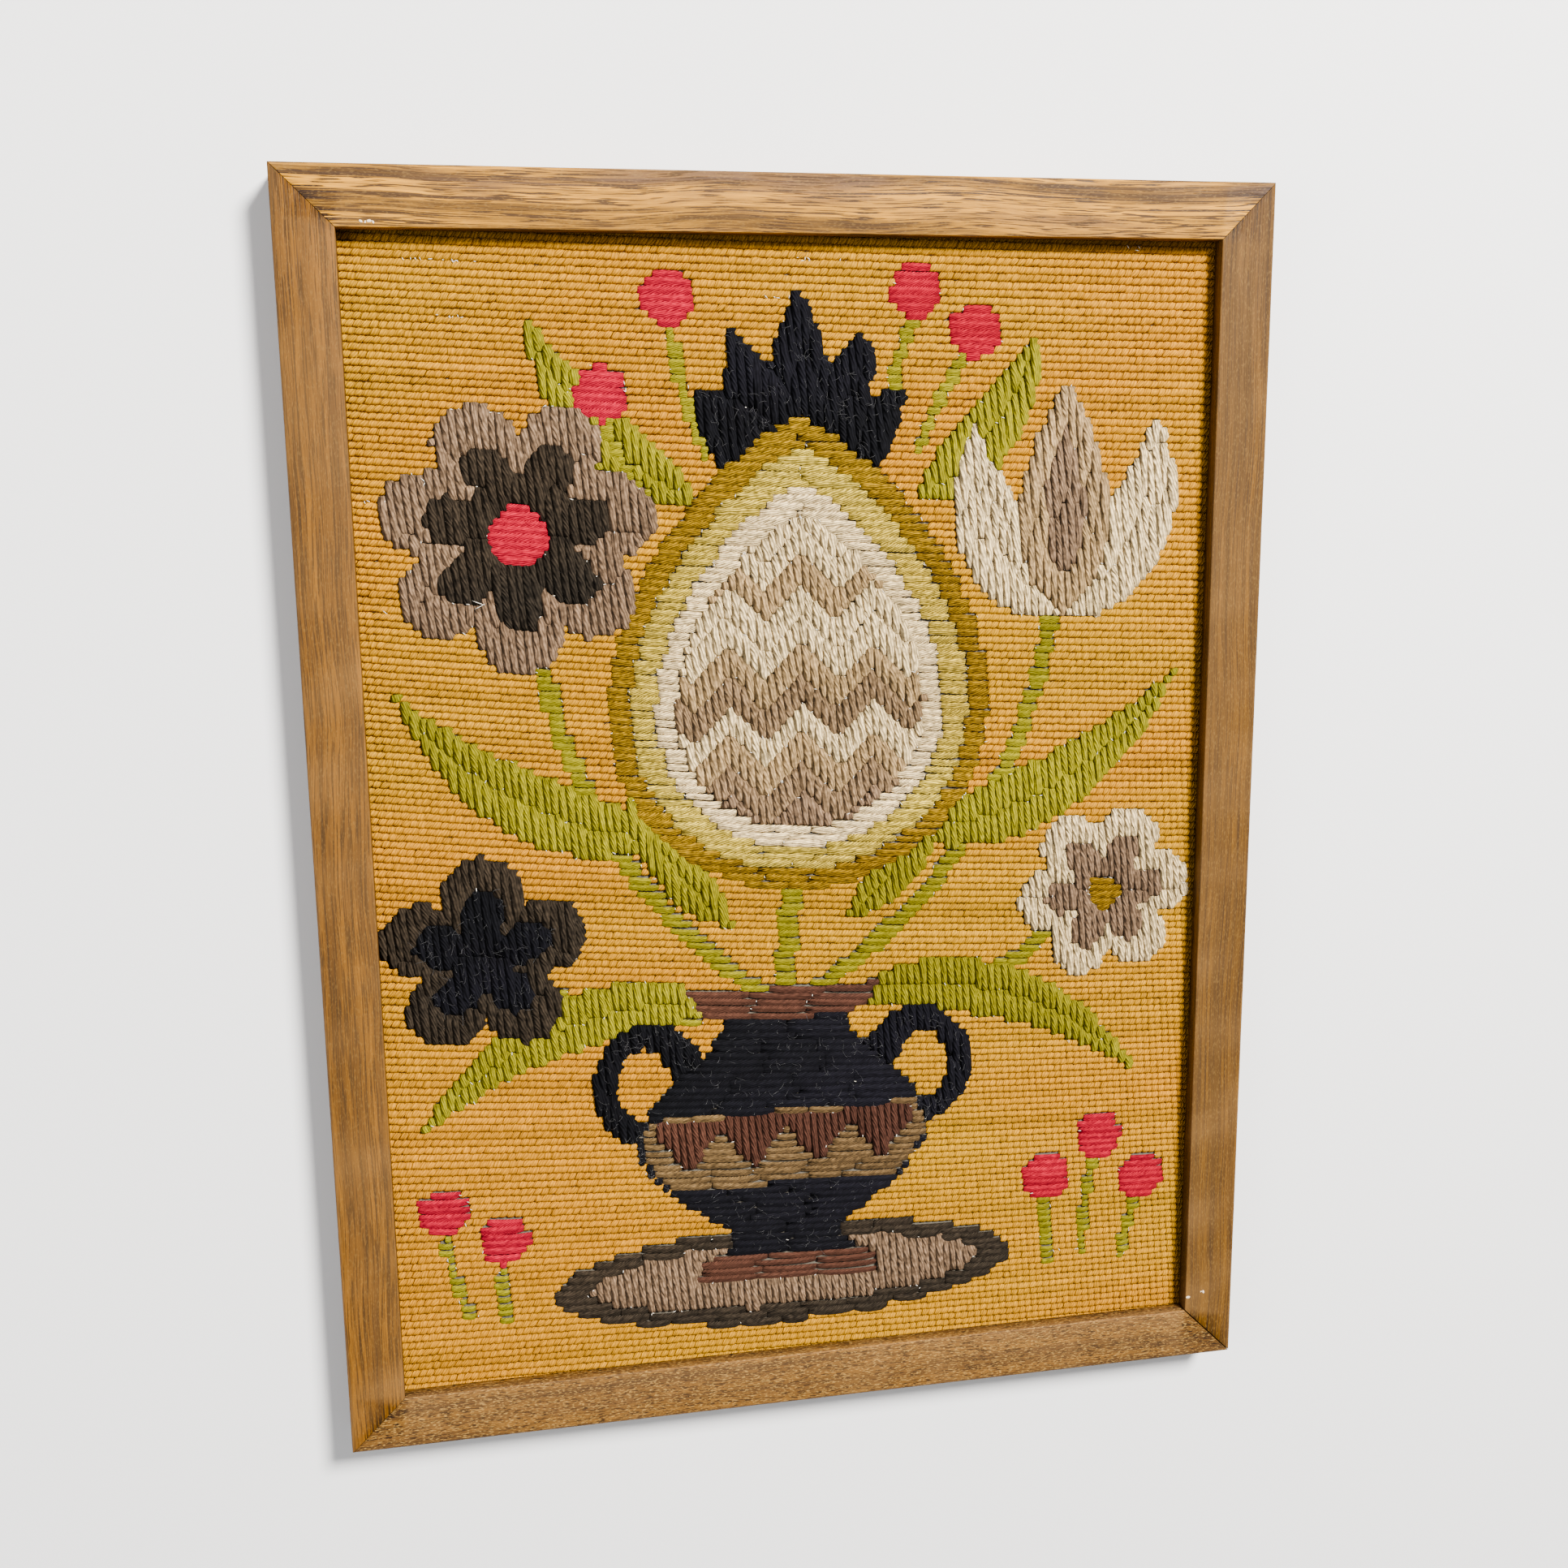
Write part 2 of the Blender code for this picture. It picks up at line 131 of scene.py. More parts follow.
rng = np.random.default_rng(41)


# The design, in stitches from the canvas's centre.
Leaf = namedtuple("Leaf", "base_x base_y tip_x tip_y width bow")
Stem = namedtuple("Stem", "base_x base_y tip_x tip_y width bow")
Berry = namedtuple("Berry", "x y root_x root_y")
Section = namedtuple("Section", "height half_width")
Ring = namedtuple("Ring", "yarn way y half_width half_height")
Flower = namedtuple("Flower", "yarn x y radius petals notch turn")
Eye = namedtuple("Eye", "yarn x y radius")
Petal = namedtuple("Petal", "yarn shape")
Field = namedtuple("Field", "yarn way loops vein longest")

URN_X = -3
URN_SECTIONS = (
    Section(-66.0, 12.0),
    Section(-63.0, 11.0),
    Section(-60.0, 7.5),
    Section(-54.0, 15.0),
    Section(-46.0, 21.0),
    Section(-38.0, 18.0),
    Section(-31.0, 10.5),
    Section(-27.0, 9.0),
    Section(-24.0, 13.0),
)
RIM_SECTIONS = (Section(-27.4, 9.6), Section(-25.5, 12.4), Section(-23.0, 13.6))
FOOT_SECTIONS = (Section(-66.7, 13.2), Section(-64.5, 12.9), Section(-62.8, 11.6))
BAND_LOW, BAND_HIGH, BAND_MARGIN, BAND_POINTS = -52, -41, 0.6, 5
TOOTH_WIDTH, TOOTH_TIP, TOOTH_ROOT = 8, -49.5, -43.5
HANDLE_X, HANDLE_Y, HANDLE_WIDTH, HANDLE_HEIGHT = 19, -36, 8, 9
HANDLE_HOLE_X, HANDLE_HOLE_WIDTH, HANDLE_HOLE_HEIGHT = 20, 4, 5.5

STEMS = (
    Stem(-6, -24, -36, 36, 2.4, 0.12),
    Stem(1, -24, 36, 32, 2.4, -0.12),
    Stem(-8, -24, -43, -12, 2.4, 0.22),
    Stem(4, -24, 44, -6, 2.4, -0.20),
    Stem(-3, -24, -1, 0, 3.0, 0.0),
)
LEAVES = (
    Leaf(-18, -1, -54, 20, 9.0, 0.12),
    Leaf(-10, -14, -24, 14, 6.5, 0.10),
    Leaf(-11, -25, -54, -41, 8.0, -0.14),
    Leaf(14, -2, 54, 20, 9.0, -0.12),
    Leaf(6, -14, 21, 13, 6.5, -0.10),
    Leaf(5, -25, 50, -40, 8.0, 0.14),
    Leaf(-14, 44, -35, 67, 8.0, 0.10),
    Leaf(16, 44, 33, 66, 8.0, -0.10),
)
BERRIES = (
    Berry(-17, 70, -12, 50),
    Berry(-26, 58, -20, 44),
    Berry(16, 71, 12, 52),
    Berry(24, 66, 16, 50),
    Berry(44, -49, 42, -68),
    Berry(36, -55, 37, -69),
    Berry(51, -56, 48, -69),
    Berry(-51, -52, -48, -68),
    Berry(-43, -57, -43, -69),
)
BERRY_RADIUS, BERRY_STEM_WIDTH, BERRY_STEM_BOW = 3.6, 1.6, 0.05
BLOOM_RINGS = (
    Ring("gold", "across", 23.0, 31.0, 32.0),
    Ring("straw", "across", 22.3, 27.5, 28.6),
    Ring("white", "across", 21.6, 23.4, 24.6),
    Ring("flame", "up", 21.0, 20.0, 21.2),
)
CROWN_LEAVES, CROWN_Y, CROWN_REACH, CROWN_SPREAD, CROWN_LEAF_WIDTH = 5, 46, 25, 24, 9
CROWN_STEP, CROWN_FOOT = 3, 0.15
LEFT_FLOWER = (
    Flower("taupe", -37, 40, 18.0, 7, 0.28, 0.2),
    Flower("dark_brown", -37, 40, 12.5, 7, 0.45, 0.2),
    Eye("pink", -37, 40, 4.0),
)
LOW_LEFT_FLOWER = (
    Flower("dark_brown", -44, -16, 14.0, 5, 0.40, 0.3),
    Flower("black", -44, -16, 9.5, 5, 0.62, 0.3),
)
LOW_RIGHT_FLOWER = (
    Flower("white", 44, -12, 13.0, 6, 0.30, 0.1),
    Flower("taupe", 44, -12, 9.0, 6, 0.50, 0.1),
    Eye("gold", 44, -12, 2.6),
)
TULIP = (
    Petal("white", Leaf(37, 28, 24, 54, 11.0, 0.14)),
    Petal("white", Leaf(37, 28, 50, 55, 11.0, -0.14)),
    Petal("beige", Leaf(37, 28, 37, 60, 13.0, 0.0)),
    Petal("taupe", Leaf(37, 33, 37, 54, 6.0, 0.0)),
)
MAT_Y, MAT_WIDTH, MAT_HEIGHT = -66, 33.5, 7.4
MAT_MIDDLE_WIDTH, MAT_MIDDLE_HEIGHT = 28.5, 5.2

# The longest stitch of each kind of field, in threads of canvas.
LONGEST, LONGEST_ON_STEM, LONGEST_ON_MAT, LONGEST_ON_URN, LONGEST_ON_BAND = 9, 4, 7, 10, 8

# Flame stitch in the bloom's heart: its bands from the lowest to the highest. Its cells are
# numbered by band, from FLAME_NUMBER on.
FLAME_BANDS = (
    "taupe", "tan", "beige", "white", "tan", "beige", "white",
    "white", "beige", "white", "white", "beige", "white", "white",
)
FLAME_STEP, FLAME_HALF_WAVE, FLAME_RISE, FLAME_BASE = 4, 5.0, 5, -4
FLAME_NUMBER = 1000

# Stretches of the ground where bits of the canvas show between stitches.
BareRow = namedtuple("BareRow", "first last row")
BARE_ROWS = (
    BareRow(-45, -33, 72),
    BareRow(-42, -36, 65),
    BareRow(6, 12, 74),
    BareRow(0, 6, 69),
    BareRow(-53, -50, 40),
    BareRow(-38, -33, -69),
    BareRow(31, 36, -67),
)
# Straight scraps of pale lint on the face, in stitches.
Lint = namedtuple("Lint", "a b end_a end_b")
LINT = (
    Lint(-41.0, 28.6, -39.5, 28.1),
    Lint(-40.9, 27.4, -39.4, 28.3),
    Lint(-45.4, 44.7, -44.9, 44.2),
    Lint(-44.9, 44.2, -45.2, 43.6),
    Lint(-46.8, 42.4, -46.2, 42.1),
    Lint(-46.4, 42.4, -46.6, 41.7),
    Lint(-52.5, 26.4, -52.0, 26.0),
    Lint(51.4, 78.0, 51.7, 77.5),
    Lint(52.5, 77.4, 53.1, 77.3),
    Lint(53.0, 77.9, 53.3, 77.5),
)
# The few specks of pale paint on the rails' front faces, in metres.
Fleck = namedtuple("Fleck", "x y radius")
PAINT_FLECKS = (
    Fleck(0.1474, -0.1917, 0.00070),
    Fleck(0.1536, -0.1901, 0.00055),
    Fleck(0.1527, -0.1899, 0.00030),
    Fleck(-0.1385, 0.1990, 0.00050),
    Fleck(-0.1372, 0.1988, 0.00035),
    Fleck(-0.1360, 0.1991, 0.00060),
    Fleck(-0.1348, 0.1988, 0.00040),
)

# Yarns: everyday 0 to 255 colours of the dye and of the duller tone that it drifts to, then the count
# of plies, their painted shade and light, their painted glints, how dark the painted shade in the
# hollows is, and the relief in metres.
Yarn = namedtuple("Yarn", "dye dull_dye plies ply_contrast streak_contrast hollow_shade relief")
YARNS = {
    "ground": Yarn((174, 115, 0), (169, 120, 0), 9.0, 0.35, 0.15, 0.75, 0.00024),
    "black": Yarn((10, 10, 13), (16, 15, 21), 12.0, 0.4, 0.3, 0.6, 0.00017),
    "white": Yarn((224, 195, 143), (209, 181, 130), 9.0, 0.6, 0.5, 0.5, 0.00024),
    "straw": Yarn((183, 158, 54), (168, 141, 45), 9.0, 0.7, 0.5, 0.5, 0.00024),
    "gold": Yarn((128, 97, 0), (111, 82, 0), 9.0, 0.6, 0.5, 0.5, 0.00024),
    "beige": Yarn((156, 127, 87), (142, 115, 76), 9.0, 0.45, 0.5, 0.5, 0.00017),
    "tan": Yarn((124, 99, 71), (112, 89, 62), 9.0, 0.45, 0.5, 0.5, 0.00017),
    "taupe": Yarn((117, 93, 70), (104, 82, 62), 9.0, 0.45, 0.5, 0.5, 0.00017),
    "dark_brown": Yarn((44, 36, 27), (33, 28, 22), 12.0, 0.45, 0.5, 0.5, 0.00017),
    "russet": Yarn((75, 46, 34), (63, 38, 29), 12.0, 0.4, 0.3, 0.6, 0.00017),
    "khaki": Yarn((101, 79, 48), (87, 67, 41), 12.0, 0.45, 0.5, 0.5, 0.00017),
    "green": Yarn((127, 119, 3), (109, 101, 2), 12.0, 0.4, 0.3, 0.6, 0.00017),
    "pink": Yarn((157, 2, 37), (143, 2, 29), 12.0, 0.4, 0.3, 0.6, 0.00017),
}

# Boards: everyday colours, then the grain's contrast, marks and stain, and the way it is turned.
Board = namedtuple("Board", "light dark pore line_contrast pore_share pore_length fleck_share stain turn")
BOARDS = {
    "frame_rail_top": Board((190, 128, 0), (30, 14, 0), (30, 13, 2), 1.6, 1.0, 26.0, 0.12, 1.0, 0.0),
    "frame_rail_bottom": Board((104, 69, 23), (57, 36, 15), (19, 9, 6), 0.5, 1.0, 7.0, 0.48, 0.2, 0.0),
    "frame_rail_left": Board((102, 62, 0), (57, 32, 0), (20, 9, 0), 0.8, 0.8, 34.0, 0.08, 0.1, pi / 2),
    "frame_rail_right": Board((81, 50, 0), (52, 31, 0), (19, 8, 2), 0.8, 0.7, 60.0, 0.1, 0.1, pi / 2),
}

# More everyday colours. The fuzz, bare thread and paint drift from their own colour to a duller one.
# The fuzz is a lighter grey than the black yarn it comes from, as painted sheen on the loose fibres.
FUZZ, DULL_FUZZ = (44, 43, 44), (32, 31, 33)
BARE_THREAD, DULL_BARE_THREAD = (236, 230, 218), (214, 206, 190)
PAINT, DULL_PAINT = (232, 214, 190), (206, 178, 148)
# The canvas's threads, white in themselves, are painted dark as the shade between the stitches, and its
# holes darker still.
SHADED_CANVAS_THREAD, SHADED_CANVAS_HOLE = (84, 78, 66), (34, 32, 29)
OAK_STAIN, OAK_FLECK, OAK_RUBBED = (76, 52, 36), (178, 138, 70), (150, 110, 62)


def ellipse(x, y, radius_x, radius_y, points=24):
    """Outline of an oval."""
    turns = [2 * pi * k / points for k in range(points)]
    return [(x + radius_x * cos(turn), y + radius_y * sin(turn)) for turn in turns]


def rosette(x, y, radius, petals, notch, turn, points_each=6):
    """Outline of a flower of round petals; notch is how far in they part."""
    outline = []
    for k in range(petals * points_each):
        angle = 2 * pi * k / (petals * points_each)
        bulge = abs(cos(petals * angle / 2)) ** 0.7
        reach = radius * (1 - notch + notch * bulge)
        outline.append((x + reach * cos(angle + turn), y + reach * sin(angle + turn)))
    return outline


def ribbon(row, half_width, points):
    """Left side, middle and right side of a bowed strip; half_width is a function of the way along."""
    run_x, run_y = row.tip_x - row.base_x, row.tip_y - row.base_y
    length = hypot(run_x, run_y)
    side_x, side_y = -run_y / length, run_x / length
    left, middle, right = [], [], []
    for k in range(points + 1):
        along = k / points
        rise = row.bow * length * 4 * along * (1 - along)
        x = row.base_x + run_x * along + side_x * rise
        y = row.base_y + run_y * along + side_y * rise
        slope = row.bow * 4 * (1 - 2 * along)
        tilt = hypot(1, slope)
        across_x = (side_x - run_x / length * slope) / tilt * half_width(along)
        across_y = (side_y - run_y / length * slope) / tilt * half_width(along)
        left.append((x + across_x, y + across_y))
        middle.append((x, y))
        right.append((x - across_x, y - across_y))
    return left, middle, right


def leaf(row, points=8):
    """Outline of a pointed leaf, and its midrib."""

    def half_width(along):
        return row.width / 2 * max(sin(pi * along**0.75), 0.0) ** 0.9

    left, middle, right = ribbon(row, half_width, points)
    return left[:-1] + right[:0:-1], middle


def stem(row, points=6):
    """Outline of a stem of even width."""
    left, _, right = ribbon(row, lambda along: row.width / 2, points)
    return left + right[::-1]


def teardrop(x, y, half_width, half_height, points=36):
    """Outline of a bloom, round below and pointed above."""
    outline = []
    for k in range(points):
        angle = 2 * pi * k / points
        across = half_width * sin(angle) * sin(angle / 2) ** 0.55
        outline.append((x + across, y + half_height * cos(angle)))
    return outline


def smooth_width(sections, height):
    """Half width of a turned shape at a height, on a smooth curve through its sections."""
    span = max((k for k in range(len(sections) - 1) if sections[k].height <= height), default=0)
    low, high = sections[span], sections[span + 1]
    before = sections[max(span - 1, 0)].half_width
    after = sections[min(span + 2, len(sections) - 1)].half_width
    way = (height - low.height) / (high.height - low.height)
    bend_1 = high.half_width - before
    bend_2 = 2 * before - 5 * low.half_width + 4 * high.half_width - after
    bend_3 = 3 * low.half_width - before - 3 * high.half_width + after
    return 0.5 * (2 * low.half_width + bend_1 * way + bend_2 * way**2 + bend_3 * way**3)


def mirrored(x, heights_and_widths):
    """Closed outline from the half widths at rising heights."""
    right = [(x + width, height) for height, width in heights_and_widths]
    left = [(x - width, height) for height, width in heights_and_widths]
    return right + left[::-1]


def turned(x, sections, points_each=3):
    """Outline of an urn, rim or foot that is the same on both sides of x."""
    rows = []
    for low, high in zip(sections, sections[1:]):
        for k in range(points_each):
            height = low.height + (high.height - low.height) * k / points_each
            rows.append((height, smooth_width(sections, height)))
    return mirrored(x, rows + [tuple(sections[-1])])


def urn_band():
    """Outline of the band round the urn's belly, just inside the urn's own outline."""
    rows = []
    for k in range(BAND_POINTS):
        height = BAND_LOW + (BAND_HIGH - BAND_LOW) * k / (BAND_POINTS - 1)
        rows.append((height, smooth_width(URN_SECTIONS, height) - BAND_MARGIN))
    return mirrored(URN_X, rows)


def urn_teeth():
    """Outline of the band's upper part, whose lower edge is a row of teeth."""
    half = smooth_width(URN_SECTIONS, BAND_HIGH) - 2 * BAND_MARGIN
    top = BAND_HIGH - BAND_MARGIN
    teeth = int(2 * half / TOOTH_WIDTH)
    edge = []
    for k in range(2 * teeth + 1):
        edge.append((URN_X - half + half * k / teeth, TOOTH_TIP if k % 2 else TOOTH_ROOT))
    return [(URN_X + half, top), (URN_X - half, top)] + edge


def crown_leaf(order):
    """Outline of one of the leaves that fan out above the bloom, the middle one longest."""
    from_middle = order - CROWN_LEAVES // 2
    angle = radians(90 + from_middle * CROWN_SPREAD)
    reach = CROWN_REACH - CROWN_STEP * abs(from_middle)
    tip_x, tip_y = reach * cos(angle), CROWN_Y + reach * sin(angle)
    return leaf(Leaf(CROWN_FOOT * tip_x, CROWN_Y, tip_x, tip_y, CROWN_LEAF_WIDTH, 0.0))[0]


def plain_field(yarn, way, outline, longest=LONGEST):
    """A field whose stitches run from edge to edge."""
    return Field(yarn, way, [outline], None, longest)


def flower_field(row):
    """A flower's petals, or its eye."""
    if isinstance(row, Eye):
        return plain_field(row.yarn, "across", ellipse(row.x, row.y, row.radius, row.radius, 14))
    outline = rosette(row.x, row.y, row.radius, row.petals, row.notch, row.turn)
    vein = [(row.x - row.radius, row.y), (row.x + row.radius, row.y)]
    return Field(row.yarn, "up", [outline], vein, LONGEST)


def leaf_field(yarn, row):
    """A leaf or petal, whose stitches meet on its midrib."""
    outline, midrib = leaf(row)
    return Field(yarn, "up", [outline], midrib, LONGEST)


def design():
    """The stitched fields, from the lowest to the topmost."""
    mat = ellipse(URN_X, MAT_Y, MAT_WIDTH, MAT_HEIGHT, 32)
    mat_middle = ellipse(URN_X, MAT_Y, MAT_MIDDLE_WIDTH, MAT_MIDDLE_HEIGHT, 32)
    fields = [plain_field("dark_brown", "across", mat, LONGEST_ON_MAT)]
    fields += [plain_field("taupe", "up", mat_middle)]
    fields += [plain_field("green", "across", stem(row), LONGEST_ON_STEM) for row in STEMS]
    fields += [leaf_field("green", row) for row in LEAVES]
    for row in BERRIES:
        under = Stem(row.root_x, row.root_y, row.x, row.y - 2, BERRY_STEM_WIDTH, BERRY_STEM_BOW)
        fields.append(plain_field("green", "across", stem(under, 4), LONGEST_ON_STEM))
        fields.append(plain_field("pink", "across", ellipse(row.x, row.y, BERRY_RADIUS, BERRY_RADIUS, 12)))
    fields += [plain_field("black", "up", crown_leaf(k)) for k in range(CROWN_LEAVES)]
    for row in BLOOM_RINGS:
        fields.append(plain_field(row.yarn, row.way, teardrop(0, row.y, row.half_width, row.half_height)))
    fields += [flower_field(row) for row in LEFT_FLOWER]
    fields += [leaf_field(row.yarn, row.shape) for row in TULIP]
    fields += [flower_field(row) for row in LOW_LEFT_FLOWER + LOW_RIGHT_FLOWER]
    for side in (-1, 1):
        outer = ellipse(URN_X + side * HANDLE_X, HANDLE_Y, HANDLE_WIDTH, HANDLE_HEIGHT)
        inner = ellipse(URN_X + side * HANDLE_HOLE_X, HANDLE_Y, HANDLE_HOLE_WIDTH, HANDLE_HOLE_HEIGHT, 16)
        fields.append(Field("black", "up", [outer, inner], None, LONGEST))
    return fields + [
        plain_field("black", "across", turned(URN_X, URN_SECTIONS), LONGEST_ON_URN),
        plain_field("khaki", "across", urn_band(), LONGEST_ON_BAND),
        plain_field("russet", "up", urn_teeth()),
        plain_field("russet", "across", turned(URN_X, RIM_SECTIONS)),
        plain_field("russet", "across", turned(URN_X, FOOT_SECTIONS)),
    ]


def row_drop(a, b):
    """How far the rows have sunk at a canvas point, in stitches: they run downhill to the right."""
    way = a / HALF_COLUMNS
    return ROW_DROP * np.exp(-((b / ROW_DROP_REACH) ** 2)) * (way - ROW_DROP_EASE * way**2)


def place(a, b):
    """Where canvas point (a, b), counted in stitches from the middle, lies, in metres."""
    return (a - LEAN * b) * STITCH, (b - row_drop(a, b)) * STITCH


def canvas_point(x, y):
    """The canvas point, in stitches, that lies at x, y in metres."""
    b = y / STITCH
    for _ in range(12):
        a = x / STITCH + LEAN * b
        b = y / STITCH + row_drop(a, b)
    return x / STITCH + LEAN * b, b


def swell(x, y):
    """The stretched cloth's own gentle unevenness, in metres: none at its edges."""
    free = np.clip(1 - (x / SIGHT_X) ** 2, 0, 1) * np.clip(1 - (y / SIGHT_Y) ** 2, 0, 1)
    waves = 0.5 + 0.3 * np.sin(27 * x + 11 * y) + 0.2 * np.sin(19 * y - 31 * x + 1)
    return SWELL * free * waves


def inside(loops, x, y):
    """Which points lie inside the outlines, holes left out."""
    found = np.zeros(x.shape, bool)
    for loop in loops:
        for (x0, y0), (x1, y1) in zip(loop, loop[1:] + loop[:1]):
            if y0 == y1:
                continue
            found ^= ((y0 > y) != (y1 > y)) & (x < (x1 - x0) * (y - y0) / (y1 - y0) + x0)
    return found


def flame_band(x, y):
    """The number of the flame band at each point, in stitches from the centre."""
    zigzag = np.abs(((x / FLAME_HALF_WAVE) % 2) - 1) * FLAME_RISE
    return np.clip(np.floor((y - zigzag - FLAME_BASE) / FLAME_STEP).astype(int), 0, len(FLAME_BANDS) - 1)


Chart = namedtuple("Chart", "columns rows numbers bands on_canvas")


def chart_of(fields):
    """Centres of columns and rows, and each cell's field (-1 is ground), flame band and if it is canvas."""
    columns = np.arange(-HALF_COLUMNS - SPARE_COLUMNS, HALF_COLUMNS + SPARE_COLUMNS) + 0.5
    rows = np.arange(-HALF_ROWS - SPARE_ROWS, HALF_ROWS + SPARE_ROWS) + 0.5
    a, b = np.meshgrid(columns, rows)
    x, y = place(a, b)
    in_width = np.abs(x) < CLOTH_HIGH.x - CANVAS_MARGIN * STITCH
    in_height = np.abs(y) < CLOTH_HIGH.y - CANVAS_MARGIN * STITCH
    numbers = np.full(a.shape, -1)
    for k, field in enumerate(fields):
        numbers[inside(field.loops, x / STITCH, y / STITCH)] = k
    return Chart(columns, rows, numbers, flame_band(x / STITCH, y / STITCH), in_width & in_height)


def unbroken_runs(cells):
    """(value, first, last + 1) of each stretch of one value that isn't negative."""
    edges = np.flatnonzero(np.diff(cells)) + 1
    starts = np.concatenate([[0], edges])
    ends = np.concatenate([edges, [len(cells)]])
    return [(int(cells[s]), int(s), int(e)) for s, e in zip(starts, ends) if cells[s] >= 0]


def split_run(first, last, longest, line):
    """A long run as stitches of like length, whose joints shift from one line to the next."""
    parts = ceil((last - first) / longest)
    cuts = [first]
    for k in range(1, parts):
        shift = 0.4 * ((line * 2 + k) % 5 - 2)
        cuts.append(round(first + (last - first) * k / parts + shift))
    cuts.append(last)
    return list(zip(cuts, cuts[1:]))


def vein_row(field, chart, line, first, last):
    """The row where a leaf's midrib crosses this column, or None where that leaves too short a stitch."""
    if field.vein is None:
        return None
    middle = (chart.rows[first] + chart.rows[last - 1]) / 2
    x = chart.columns[line] - LEAN * middle
    points = sorted(field.vein)
    y = np.interp(x, [p[0] for p in points], [p[1] for p in points])
    cut = round(float(y + row_drop(chart.columns[line], middle) - chart.rows[0] + 0.5))
    return cut if first + 2 <= cut <= last - 2 else None


def long_stitches(fields, chart):
    """{yarn: [(start a, start b, end a, end b), ...]} for the upright and level long stitches."""
    columns, rows = chart.columns, chart.rows
    made = {}

    def lay(yarn, way, line, first, last):
        if way == "up":
            ends = (columns[line], rows[first] - 0.5, columns[line], rows[last - 1] + 0.5)
        else:
            ends = (columns[first] - 0.5, rows[line], columns[last - 1] + 0.5, rows[line])
        made.setdefault(yarn, []).append(ends)

    for way in ("up", "across"):
        mine = np.array([field.way == way for field in fields] + [False])
        cells = np.where(mine[chart.numbers] & chart.on_canvas, chart.numbers, -1)
        flames = np.array([field.yarn == "flame" for field in fields] + [False])[chart.numbers]
        cells = np.where(flames & (cells >= 0), FLAME_NUMBER + chart.bands, cells)
        for line, values in enumerate(cells.T if way == "up" else cells):
            for value, first, last in unbroken_runs(values):
                if value >= FLAME_NUMBER:
                    lay(FLAME_BANDS[value - FLAME_NUMBER], way, line, first, last)
                    continue
                field = fields[value]
                cut = vein_row(field, chart, line, first, last) if way == "up" else None
                halves = [(first, cut), (cut, last)] if cut else [(first, last)]
                for start, end in halves:
                    for s, e in split_run(start, end, field.longest, line):
                        lay(field.yarn, way, line, s, e)
    return {yarn: np.array(rows_of) for yarn, rows_of in made.items()}


# Every thread is one closed unit strand, modelled once and laid along each stitch.
Strand = namedtuple("Strand", "points corners counts around")


def sliced(shape, point, normal, **settings):
    """The result of cutting all of a shape along a plane."""
    everything = shape.verts[:] + shape.edges[:] + shape.faces[:]
    return bmesh.ops.bisect_plane(shape, geom=everything, plane_co=point, plane_no=normal, **settings)


def unit_strand(corner_angles, cuts):
    """A strand of radius 1 along Z from 0 to 1: long corners at these angles, rings at these cuts."""
    shape = bmesh.new()
    sides = len(corner_angles)
    bmesh.ops.create_cone(shape, cap_ends=True, segments=sides, radius1=1, radius2=1, depth=1)
    bmesh.ops.translate(shape, vec=(0, 0, 0.5), verts=shape.verts)
    for vertex in shape.verts:
        corner = round(atan2(vertex.co.y, vertex.co.x) / (2 * pi / sides)) % sides
        angle = radians(corner_angles[corner])
        vertex.co.x, vertex.co.y = cos(angle), sin(angle)
    for cut in cuts:
        sliced(shape, (0, 0, cut), (0, 0, 1))
    shape.verts.index_update()
    points = np.array([vertex.co for vertex in shape.verts])
    corners, counts, around = [], [], []
    for face in shape.faces:
        turns = [atan2(v.co.y, v.co.x) / (2 * pi) for v in face.verts]
        if max(turns) - min(turns) > 0.5 and abs(face.normal.z) < 0.5:
            turns = [t + 1 if t < 0 else t for t in turns]
        corners += [v.index for v in face.verts]
        counts.append(len(face.verts))
        around += turns
    shape.free()
    return Strand(points, np.array(corners), np.array(counts), np.array(around))


TENT_STRAND = unit_strand((0, 60, 120, 180, 270), (0.15, 0.37, 0.63, 0.85))
LONG_STRAND = unit_strand((0, 45, 90, 135, 180, 270), (0.05, 0.18, 0.50, 0.82, 0.95))
FLOAT_STRAND = unit_strand((90, 210, 330), ())
HAIR_STRAND = unit_strand((30, 150, 270), (0.33, 0.67))


